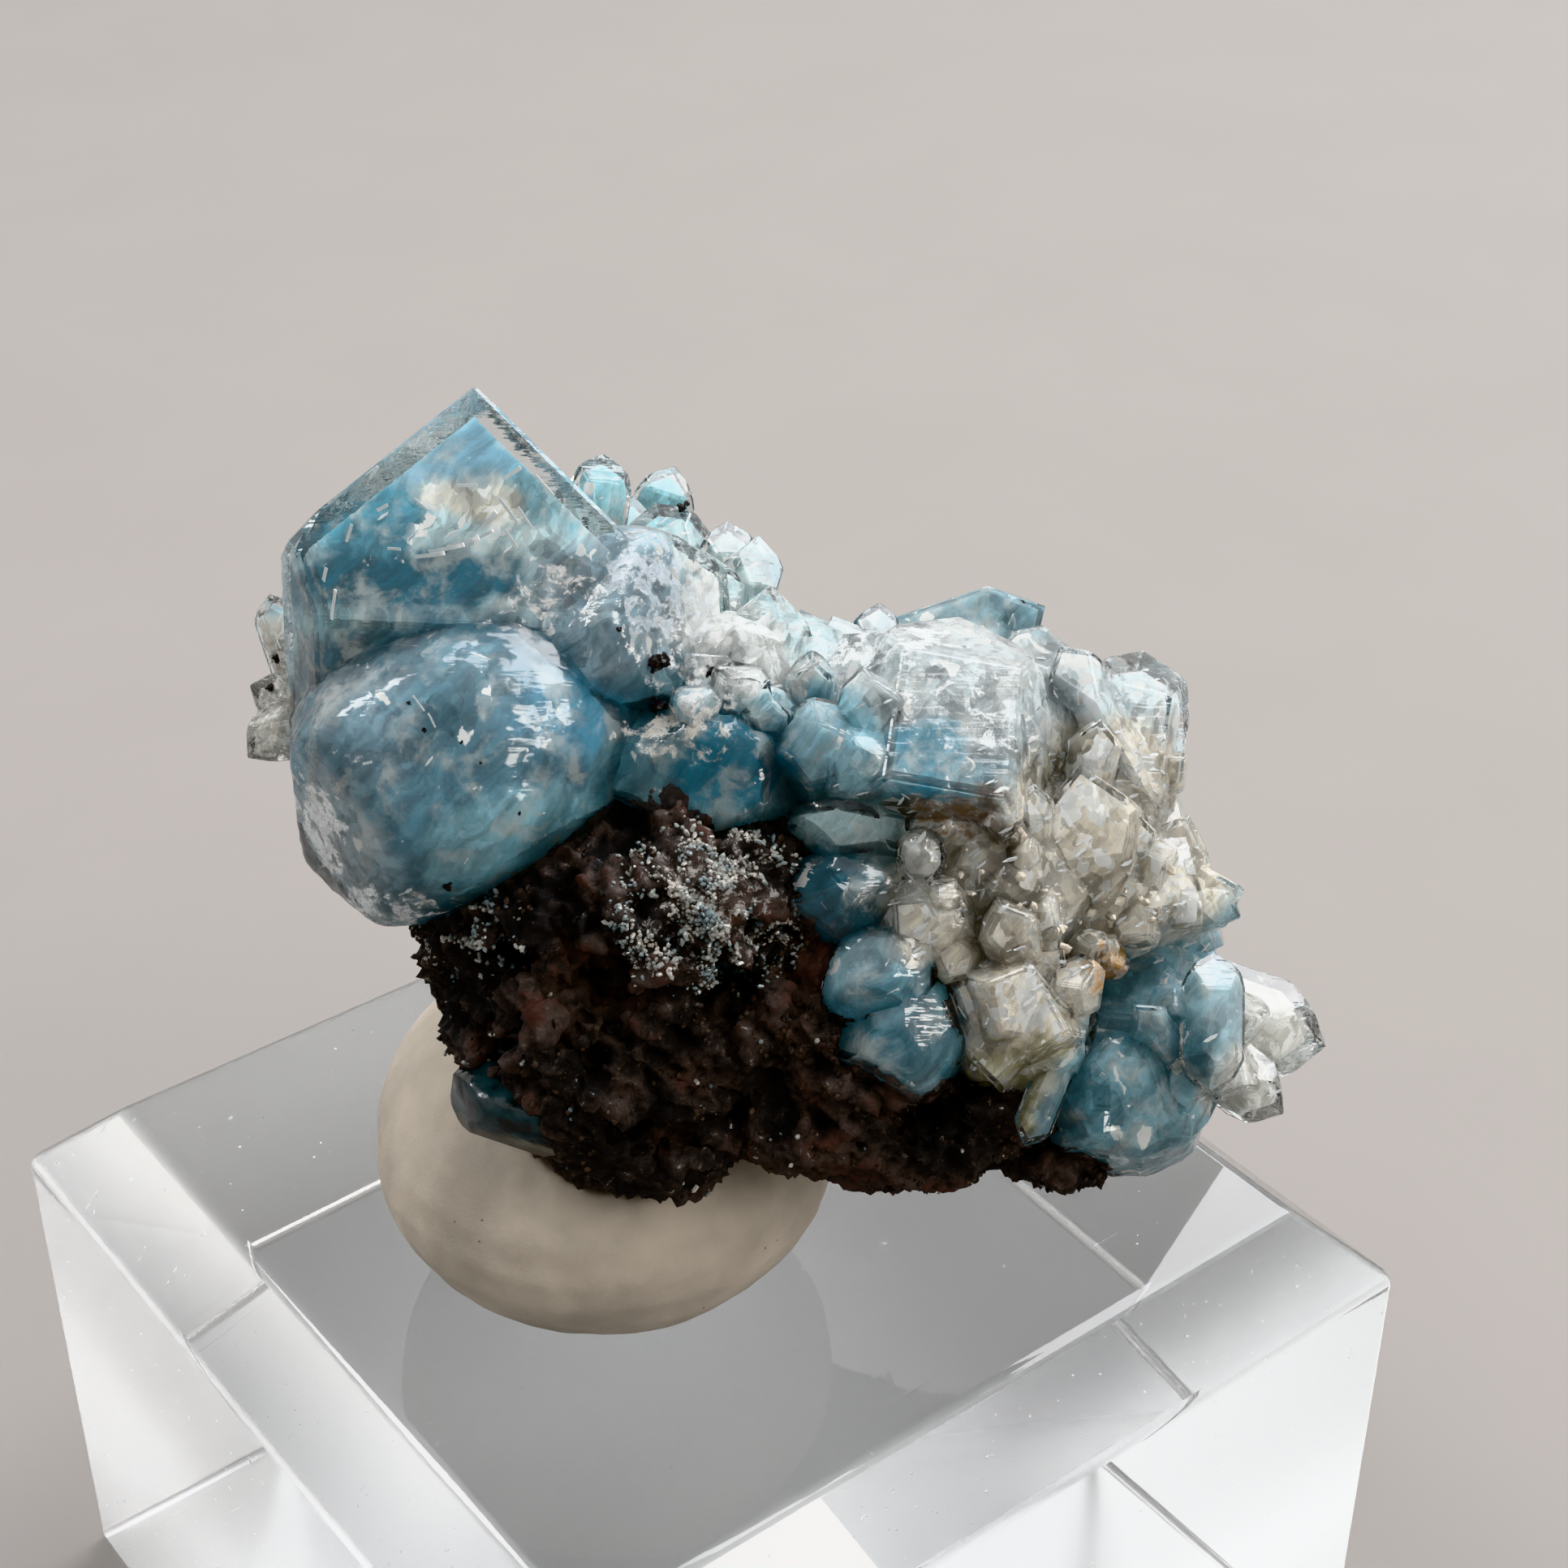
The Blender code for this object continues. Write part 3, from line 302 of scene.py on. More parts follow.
# Healed cracks in the tall crystal and the blue lump, painted plain white to stand in for glints: place
# across and up, length, breadth, turn in degrees
GLINTS = (
    (-11.1, 6.7, 1.2, 0.13, 20), (-10.6, 6.9, 1.5, 0.12, 23), (-10.1, 7.1, 1.4, 0.13, 26),
    (-9.5, 7.3, 1.0, 0.1, 35), (-9.3, 7.8, 0.9, 0.14, 52), (-8.7, 8.1, 1.0, 0.12, -46),
    (-8.2, 7.9, 0.8, 0.1, -50), (-8.6, 7.2, 0.7, 0.12, -50), (-12.2, 6.9, 0.5, 0.1, 10),
    (-13.6, 7.4, 0.7, 0.1, 70), (-12.9, 9.3, 0.6, 0.12, 60), (-10.0, 8.9, 0.8, 0.1, 15),
    (-8.6, 9.3, 0.8, 0.14, 40), (-11.4, 8.3, 0.6, 0.09, -30), (-12.6, 8.2, 0.5, 0.12, 35),
    (-14.3, 6.1, 0.5, 0.12, 75), (-14.0, 5.2, 1.0, 0.1, 80), (-7.6, 8.9, 0.9, 0.1, -40),
    (-11.2, 2.1, 0.6, 0.05, -42), (-10.8, 1.6, 0.5, 0.06, -50), (-12.8, 0.4, 0.4, 0.07, 20),
    (-13.9, -0.4, 0.6, 0.06, 60), (-9.2, 3.6, 0.7, 0.05, -20), (-7.4, -1.4, 0.5, 0.05, 35),
)
# How much of a crystal's half width is clear before its inclusions start: centre, radius, share
CLEAR_ZONES = (
    ((-9.6, 12.4, 4.5), 1.0, 0.145),
    ((-0.8, 5.0, 4.0), 3.4, 0.45),
    ((-4.0, 10.0, -5.0), 4.4, 0.4),
    ((11.9, 4.4, -1.0), 3.0, 0.5),
    ((17.0, -9.0, 1.0), 3.6, 0.4),
    ((-17.0, 3.0, 0.0), 4.0, 0.4),
    ((12.6, -6.5, 4.2), 2.6, 0.2),
    ((9.5, -2.5, 4.0), 6.5, 0.15),
)
PLAIN_CLEAR = 0.17


class QuartzSettings(bpy.types.PropertyGroup):
    clear_depth: bpy.props.FloatProperty(
        name="Clear rim", description="Depth of clear quartz over the first inclusions",
        default=0.4 * MM, min=0.1 * MM, max=2 * MM, precision=5, unit="LENGTH")
    edge_wear: bpy.props.FloatProperty(
        name="Edge wear", description="Width of the worn edge between two crystal faces",
        default=0.05 * MM, min=0.0, max=0.3 * MM, precision=5, unit="LENGTH")
    blue: bpy.props.FloatVectorProperty(
        name="Inclusion blue", description="Colour of the inclusions outside the named zones",
        default=(0.22, 0.38, 0.44), size=3, min=0, max=1, subtype="COLOR")


class RockSettings(bpy.types.PropertyGroup):
    grain: bpy.props.FloatProperty(
        name="Crumb", description="Height of the crumbly relief of the rock",
        default=0.6 * MM, min=0.0, max=2 * MM, precision=5, unit="LENGTH")
    # Colour in the hollows of the rock: partly its own dark, partly painted shade
    dark: bpy.props.FloatVectorProperty(
        name="Dark rock", description="Colour of the rock between its grains",
        default=(0.006, 0.0055, 0.0053), size=3, min=0, max=1, subtype="COLOR")


class StandSettings(bpy.types.PropertyGroup):
    tack_colour: bpy.props.FloatVectorProperty(
        name="Tack", description="Colour of the mineral tack",
        default=(0.38, 0.34, 0.29), size=3, min=0, max=1, subtype="COLOR")
    edge_round: bpy.props.FloatProperty(
        name="Edge rounding", description="Radius of the polished edges of the acrylic block",
        default=0.3 * MM, min=0.05 * MM, max=1 * MM, precision=5, unit="LENGTH")


class StageSettings(bpy.types.PropertyGroup):
    window: bpy.props.FloatProperty(
        name="Window light", description="Power of the large soft light behind the object, in watts",
        default=4.2, min=0)
    fill: bpy.props.FloatProperty(
        name="Fill light", description="Power of the soft light in front of the object, in watts",
        default=0.8, min=0)
    floor: bpy.props.FloatVectorProperty(
        name="Floor", description="Colour of the floor",
        default=(0.235, 0.222, 0.21), size=3, min=0, max=1, subtype="COLOR")


def linear(code):
    """An sRGB hex colour as linear red, green, blue and alpha."""
    parts = [int(code[i:i + 2], 16) / 255 for i in (1, 3, 5)]
    return (*(c / 12.92 if c <= 0.04045 else ((c + 0.055) / 1.055) ** 2.4 for c in parts), 1.0)


def add(tree, kind, sockets=None, out=0, **settings):
    """Adds a node, sets its properties and its sockets or links them, and returns one output."""
    node = tree.nodes.new(kind)
    for name, value in settings.items():
        setattr(node, name, value)
    for name, value in (sockets or {}).items():
        if isinstance(value, bpy.types.NodeSocket):
            tree.links.new(value, node.inputs[name])
        else:
            node.inputs[name].default_value = value
    return node.outputs[out] if node.outputs else None


def material_tree(name):
    """An empty procedural material of that name, and its node tree."""
    made = bpy.data.materials.new(name)
    made.use_nodes = True
    made.node_tree.nodes.clear()
    return made, made.node_tree


def display_places(tree):
    """Places in the specimen's display frame, in millimetres."""
    place = add(tree, "ShaderNodeTexCoord", out="Object")
    return add(
        tree, "ShaderNodeMapping",
        {"Vector": place, "Location": TO_ROW.translation,
         "Rotation": (FACE_TILT, 0, FACE_TURN), "Scale": (MM, MM, MM)},
        vector_type="TEXTURE",
    )


def wandering(tree, places, scale, reach):
    """The same places shifted by noise, so that what is drawn there gets a natural edge."""
    cloud = add(tree, "ShaderNodeTexNoise", {"Vector": places, "Scale": scale, "Detail": 1.5}, out="Color")
    centred = add(tree, "ShaderNodeVectorMath", {0: cloud, 1: (0.5, 0.5, 0.5)}, operation="SUBTRACT")
    return add(tree, "ShaderNodeVectorMath", {0: centred, 1: (reach,) * 3, 2: places}, operation="MULTIPLY_ADD")


def fade(tree, value, low, high, start=0.0, end=1.0):
    """Value mapped smoothly from low..high to start..end."""
    return add(tree, "ShaderNodeMapRange",
               {"Value": value, "From Min": low, "From Max": high, "To Min": start, "To Max": end},
               interpolation_type="SMOOTHSTEP")


def rhomb_axes(axis, turn):
    """Axes of a crystal that points along axis, with its first face towards +Z, then turned."""
    along = Vector(axis).normalized()
    front = Vector((0, 0, 1)) - along * along.z
    if front.length < 1e-3:
        front = Vector((0, 1, 0))
    front.normalize()
    axes = Matrix((front.cross(along), front, along)).transposed()
    return axes @ Matrix.Rotation(math.radians(turn), 3, "Z")


def trim(bm, point, normal):
    """Cuts off what lies beyond a plane and closes the cut with one flat face."""
    everything = bm.verts[:] + bm.edges[:] + bm.faces[:]
    cut = bmesh.ops.bisect_plane(
        bm, geom=everything, plane_co=point, plane_no=normal, clear_outer=True, dist=1e-5)
    rim = [e for e in cut["geom_cut"] if isinstance(e, bmesh.types.BMEdge)]
    if rim:
        bmesh.ops.contextual_create(bm, geom=rim)


def turned_out(bm):
    """The closed shape with all its faces pointing outwards."""
    bm.normal_update()
    bmesh.ops.recalc_face_normals(bm, faces=bm.faces)
    if bm.calc_volume(signed=True) < 0:
        bmesh.ops.reverse_faces(bm, faces=bm.faces)
    return bm


def quartz_point(tip, axis, sides, length, turn, small, blunt, grow=0.0, wear=0.0):
    """A six-sided quartz crystal with three large and three small end faces and worn edges."""
    bm = bmesh.new()
    bmesh.ops.create_cube(bm, size=4.0 * (max(sides) + length))
    slope, rise = math.sin(RHOMB_ANGLE), math.cos(RHOMB_ANGLE)
    planes = [(Vector((0, 0, -length - grow)), Vector((0, 0, -1)))]
    for k, distance in enumerate(sides):
        way = math.radians(60 * k)
        side = Vector((-math.sin(way), math.cos(way), 0.0))
        planes.append((side * (distance + grow), side))
        out = side * slope + Vector((0, 0, rise))
        planes.append((out * ((small if k % 2 else 0.0) + grow), out))
        if blunt:
            out = side * slope - Vector((0, 0, rise))
            planes.append((Vector((0, 0, -length)) + out * ((0.0 if k % 2 else small) + grow), out))
    for point, normal in planes:
        trim(bm, point, normal)
    if wear:
        sharp = bm.copy()
        edges = [e for e in bm.edges if len(e.link_faces) == 2 and e.calc_face_angle(0.0) > 0.3]
        bmesh.ops.bevel(bm, geom=edges, offset=wear, segments=1, affect="EDGES", clamp_overlap=True)
        # A bevel can throw a corner far out at a narrow tip, and such a crystal keeps its sharp edges
        if any((v.co - point).dot(normal) > 0.01 for v in bm.verts for point, normal in planes):
            bm.free()
            bm = sharp
    place = rhomb_axes(axis, turn).to_4x4()
    place.translation = Vector(tip)
    bm.transform(place)
    return turned_out(bm)


def broken_lump(centre, radii, tilt, cuts, rough, relief, flats, seed, detail, grow=0.0):
    """A broken lump: a ball pulled to three radii and roughened, with low domed cuts and flat faces.

    The face value facet is from 0 to 1 on the flat crystal faces and 2 on the broken surface.
    """
    bm = bmesh.new()
    bmesh.ops.create_icosphere(bm, subdivisions=detail, radius=1.0)
    shift = Vector((seed * 7.3, seed * 3.1, seed * 5.7))
    spin = Euler((0, 0, math.radians(tilt))).to_matrix()
    middle = Vector(centre)
    for vert in bm.verts:
        swell = 1.0 + rough * noise.noise(vert.co * 1.7 + shift)
        swell += 0.5 * rough * noise.noise(vert.co * 4.1 + shift)
        vert.co = middle + spin @ Vector([c * (r * swell + grow) for c, r in zip(vert.co, radii)])
        for normal, distance in cuts:
            out = Vector(normal).normalized()
            over = (vert.co - middle).dot(out) - distance - grow
            if over > 0:
                vert.co -= out * over * 0.93
        if relief:
            away = (vert.co - middle).normalized()
            chip = noise.voronoi(vert.co * 1.1 + shift, distance_metric="CHEBYCHEV")[0][0]
            splinter = noise.voronoi(vert.co * 2.7 + shift, distance_metric="CHEBYCHEV")[0][0]
            vert.co += away * relief * (2.4 * chip + 0.9 * splinter - 1.3)
    facet = bm.faces.layers.float.new("facet")
    for face in bm.faces:
        face[facet] = 2.0
    chance = random.Random(seed)
    for _ in range(flats):
        out = Vector([chance.gauss(0, 1) for _ in range(3)]).normalized()
        reach = Vector([c * r for c, r in zip(spin.transposed() @ out, radii)]).length
        point = middle + out * (reach * chance.uniform(0.74, 0.92) + grow)
        everything = bm.verts[:] + bm.edges[:] + bm.faces[:]
        cut = bmesh.ops.bisect_plane(
            bm, geom=everything, plane_co=point, plane_no=out, clear_outer=True, dist=1e-5)
        rim = [e for e in cut["geom_cut"] if isinstance(e, bmesh.types.BMEdge)]
        value = chance.random()
        if rim:
            for face in bmesh.ops.edgeloop_fill(bm, edges=rim)["faces"]:
                face[facet] = value
    return turned_out(bm)


def clear_share(tip):
    """How much of the half width of the crystal with this tip is clear."""
    for centre, radius, share in CLEAR_ZONES:
        if (Vector(centre) - Vector(tip)).length < radius:
            return share
    return PLAIN_CLEAR


def quartz_shapes(inward=0.0, least=0.0, wear=0.0, detail=4):
    """All crystals and lumps of the cluster, each face marked with its finish.

    inward is 0 for their surface and 1 for where their inclusions start, at least that deep.
    The face value facet is from 0 to 1 on crystal faces, 2 on broken surfaces and 3 on smooth ones.
    """
    grow = -inward * max(least, 4.9 * clear_share((-9.6, 12.4, 4.5)))
    shapes = [quartz_point((-9.6, 12.4, 4.5), (0.04, 0.9, 0.44), (4.8, 6.9, 5.2, 5.0, 4.0, 6.2),
                           12.0, 0.0, 2.1, 0, grow, 2.4 * wear)]
    for seed, (tip, axis, width, depth, length, turn, blunt) in enumerate(CRYSTALS):
        chance = random.Random(seed)
        slant = width / 2 * math.sin(math.radians(60))
        base = (depth / 2, slant, slant, depth / 2, slant, slant)
        sides = [d * chance.uniform(0.92, 1.08) for d in base]
        grow = -inward * min(sides) * max(clear_share(tip), 0.5 * least / min(sides))
        if min(sides) + grow < 0.15:
            continue
        shapes.append(quartz_point(tip, axis, sides, length, turn, 0.13 * width, blunt, grow, wear))
    for seed, bm in enumerate(shapes):
        chance, facet = random.Random(seed + 7), bm.faces.layers.float.new("facet")
        for face in bm.faces:
            face[facet] = chance.random()
    for seed, (centre, radii, tilt, cuts, rough, relief, flats) in enumerate(QUARTZ_LUMPS):
        grow = -inward * least * (2.2 if seed == 0 else 1.0)
        if min(radii) + grow < 0.3:
            continue
        level = detail + 1 if seed == 0 else detail
        bm = broken_lump(centre, radii, tilt, cuts, rough, relief, flats, seed + 1, level, grow)
        if seed == 0:
            facet = bm.faces.layers.float["facet"]
            for face in bm.faces:
                face[facet] += 1.0 if face[facet] > 1.5 else 0.0
        shapes.append(bm)
    return shapes


def scratch_object(bm, name):
    """A helper object outside the scene's own collection, from display-frame geometry."""
    mesh = bpy.data.meshes.new(name)
    bm.to_mesh(mesh)
    bm.free()
    return bpy.data.objects.new(name, mesh)


def grown_together(shapes, less=()):
    """One closed mesh of all the shapes, less the others."""
    first = scratch_object(shapes[0], "first")
    bpy.context.scene.collection.objects.link(first)
    groups = []
    for operation, others in (("UNION", shapes[1:]), ("DIFFERENCE", less)):
        if not others:
            continue
        group = bpy.data.collections.new("others")
        bpy.context.scene.collection.children.link(group)
        for bm in others:
            group.objects.link(scratch_object(bm, "other"))
        modifier = first.modifiers.new(operation.title(), "BOOLEAN")
        modifier.operation, modifier.solver = operation, "MANIFOLD"
        modifier.operand_type, modifier.collection = "COLLECTION", group
        groups.append(group)
    mesh = bpy.data.meshes.new_from_object(first.evaluated_get(bpy.context.evaluated_depsgraph_get()))
    for group in groups:
        for other in list(group.objects):
            bpy.data.objects.remove(other)
        bpy.data.collections.remove(group)
    bpy.data.objects.remove(first)
    if not mesh.polygons:
        raise RuntimeError("the shapes didn't grow together")
    return mesh


def remeshed(mesh, size):
    """The mesh wrapped in an even skin of small faces."""
    obj = bpy.data.objects.new("wrapped", mesh)
    bpy.context.scene.collection.objects.link(obj)
    modifier = obj.modifiers.new("Skin", "REMESH")
    modifier.mode, modifier.voxel_size, modifier.use_smooth_shade = "VOXEL", size, True
    made = bpy.data.meshes.new_from_object(obj.evaluated_get(bpy.context.evaluated_depsgraph_get()))
    bpy.data.objects.remove(obj)
    return made


def finished(mesh, name, surface, replaced=(), place=None):
    """The mesh as a piece of the object, put in its place in the row frame."""
    if place is not None:
        mesh.transform(place)
    mesh.name = name
    mesh.materials.clear()
    mesh.materials.append(surface)
    made = bpy.data.objects.new(name, mesh)
    bpy.context.scene.collection.objects.link(made)
    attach(made, "root")
    if replaced:
        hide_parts(*replaced)
    return made


def shade_quartz(mesh):
    """Crystal faces stay flat, and broken surfaces are smooth between their sharp edges."""
    facet = np.zeros(len(mesh.polygons), np.float32)
    mesh.attributes["facet"].data.foreach_get("value", facet)
    mesh.polygons.foreach_set("use_smooth", facet > 1.5)
    mesh.update()
    sharp = mesh.attributes.get("sharp_edge") or mesh.attributes.new("sharp_edge", "BOOLEAN", "EDGE")
    bm = bmesh.new()
    bm.from_mesh(mesh)
    sharp.data.foreach_set("value", [e.calc_face_angle(0.0) > 0.6 for e in bm.edges])
    bm.free()


def finely_divided(mesh, longest):
    """Divides the large flat faces, so that colours painted on the corner points can vary over them."""
    bm = bmesh.new()
    bm.from_mesh(mesh)
    bmesh.ops.triangulate(bm, faces=bm.faces[:])
    for _ in range(6):
        long = [e for e in bm.edges if e.calc_length() > longest]
        if not long:
            break
        bmesh.ops.subdivide_edges(bm, edges=long, cuts=1)
        bmesh.ops.triangulate(bm, faces=[f for f in bm.faces if len(f.verts) > 3])
    bm.to_mesh(mesh)
    bm.free()
    return mesh


def painted(mesh, zones, name, start, wander, soft, seed=0):
    """Paints the zones onto the corner points: their colour, and in alpha how much of it there is."""
    count = len(mesh.vertices)
    places = np.zeros(count * 3, np.float32)
    mesh.vertices.foreach_get("co", places)
    places = places.reshape(-1, 3)
    shift = Vector((seed * 3.7, 1.3, seed))
    drift = np.array([
        noise.noise_vector(v.co * 0.7 + shift) + 0.45 * noise.noise_vector(v.co * 2.0) for v in mesh.vertices])
    shown = places + wander * drift
    colour = np.tile(np.array(start, np.float32), (count, 1))
    for centre, radii, code, amount in zones:
        reach = np.linalg.norm((shown - np.array(centre)) / np.array(radii), axis=1)
        share = np.clip((1.0 + soft / 2 - reach) / soft, 0, 1)[:, None]
        share = share * share * (3 - 2 * share)
        goal = np.array((*linear(code)[:3], amount))
        colour = colour + (goal - colour) * share
    layer = mesh.attributes.get(name) or mesh.attributes.new(name, "FLOAT_COLOR", "POINT")
    layer.data.foreach_set("color", colour.astype(np.float32).ravel())
    return mesh


def clear_quartz_material():
    """Rock crystal, natural growth faces and broken surfaces.

    Growth faces are glass-smooth with fine lines and low steps that break up reflections, a few of
    them etched. Broken surfaces are hackly, so each splinter glints its own way, and bruised
    patches read white.
    """
    made, tree = material_tree("clear_rock_crystal")
    places = display_places(tree)
    facet = add(tree, "ShaderNodeAttribute", out="Fac", attribute_name="facet")
    hackly = add(tree, "ShaderNodeMath", {0: facet, 1: 2.0, 2: 0.4}, operation="COMPARE")
    frosted = add(tree, "ShaderNodeAttribute", out="Color", attribute_name="frost_and_highlight")
    much = frosted.node.outputs["Alpha"]

    # The largest lump is worn to a satin, and about one growth face in six is etched
    worn = add(tree, "ShaderNodeMath", {0: facet, 1: 2.5}, operation="GREATER_THAN")
    worn = add(tree, "ShaderNodeMath", {0: worn, 1: 0.13}, operation="MULTIPLY")
    etched = add(tree, "ShaderNodeMath", {0: facet, 1: 0.16}, operation="LESS_THAN")
    # Bruises 0.1 to 1 mm across, everywhere a few and in the frosted zones most of the surface; one of those zones is a
    # painted highlight
    drift = wandering(tree, places, 0.9, 0.7)
    bruise = add(tree, "ShaderNodeTexNoise", {"Vector": drift, "Scale": 1.7, "Detail": 6.0, "Roughness": 0.72})
    bruise = add(tree, "ShaderNodeMath", {0: much, 1: 0.3, 2: bruise}, operation="MULTIPLY_ADD")
    frost_and_highlight = fade(tree, bruise, 0.6, 0.78)
    frost_and_highlight = add(tree, "ShaderNodeMath", {0: etched, 1: 0.1, 2: frost_and_highlight}, operation="MULTIPLY_ADD", use_clamp=True)

    # Splinters 0.3 to 1.2 mm across, each turned its own way
    leaning = add(tree, "ShaderNodeMapping", {"Vector": drift, "Rotation": (0.4, 0.3, 0.7)})
    coarse = add(tree, "ShaderNodeTexVoronoi", {"Vector": leaning, "Scale": 0.85}, out="Color", distance="CHEBYCHEV")
    small = add(tree, "ShaderNodeTexVoronoi", {"Vector": leaning, "Scale": 2.6}, out="Color", distance="CHEBYCHEV")
    turned = add(tree, "ShaderNodeVectorMath", {0: small, 1: (0.6, 0.6, 0.6), 2: coarse}, operation="MULTIPLY_ADD")
    turned = add(tree, "ShaderNodeVectorMath", {0: turned, 1: (0.8, 0.8, 0.8)}, operation="SUBTRACT")
    share = add(tree, "ShaderNodeMath", {0: hackly, 1: 0.3, 2: 0.06}, operation="MULTIPLY_ADD")
    share = add(tree, "ShaderNodeMath", {0: worn, 1: 1.1, 2: share}, operation="MULTIPLY_ADD")
    turned = add(tree, "ShaderNodeVectorMath", {0: turned, "Scale": share}, operation="SCALE")
    upright = add(tree, "ShaderNodeNewGeometry", out="Normal")
    turned = add(tree, "ShaderNodeVectorMath", {0: upright, 1: turned}, operation="ADD")
    turned = add(tree, "ShaderNodeVectorMath", {0: turned}, operation="NORMALIZE")

    # Growth lines 0.15 to 0.4 mm apart across the prism, drawn coarser than the real ones so that they show
    across = add(tree, "ShaderNodeVectorMath", {0: places, 1: (0.5, 4.0, 1.6)}, operation="MULTIPLY")
    lines = add(tree, "ShaderNodeTexNoise", {"Vector": across, "Scale": 1.0, "Detail": 2.0})
    pits = add(tree, "ShaderNodeTexNoise", {"Vector": places, "Scale": 5.0, "Detail": 3.0, "Roughness": 0.7})
    pitted = add(tree, "ShaderNodeMath", {0: pits, 1: much}, operation="MULTIPLY")
    relief = add(tree, "ShaderNodeMath", {0: pitted, 1: 1.4, 2: lines}, operation="MULTIPLY_ADD")
    bump = add(tree, "ShaderNodeBump", {"Strength": 0.3, "Distance": 0.1 * MM, "Height": relief, "Normal": turned})

    tone = fade(tree, pits, 0.35, 0.65, 0.75, 1.1)
    bruised = add(tree, "ShaderNodeVectorMath", {0: frosted, 1: tone}, operation="MULTIPLY")
    colour = add(tree, "ShaderNodeMix", {"Factor": frost_and_highlight, 6: linear("#F6F9F9"), 7: bruised}, out=2, data_type="RGBA")
    rough = add(tree, "ShaderNodeMath", {0: fade(tree, frost_and_highlight, 0.0, 1.0, 0.01, 0.4), 1: worn}, operation="MAXIMUM")
    surface = add(
        tree, "ShaderNodeBsdfPrincipled",
        {"Base Color": colour, "Roughness": rough, "IOR": 1.544,
         "Transmission Weight": fade(tree, frost_and_highlight, 0.0, 1.0, 1.0, 0.35), "Normal": bump})
    add(tree, "ShaderNodeOutputMaterial", {"Surface": surface})
    return made


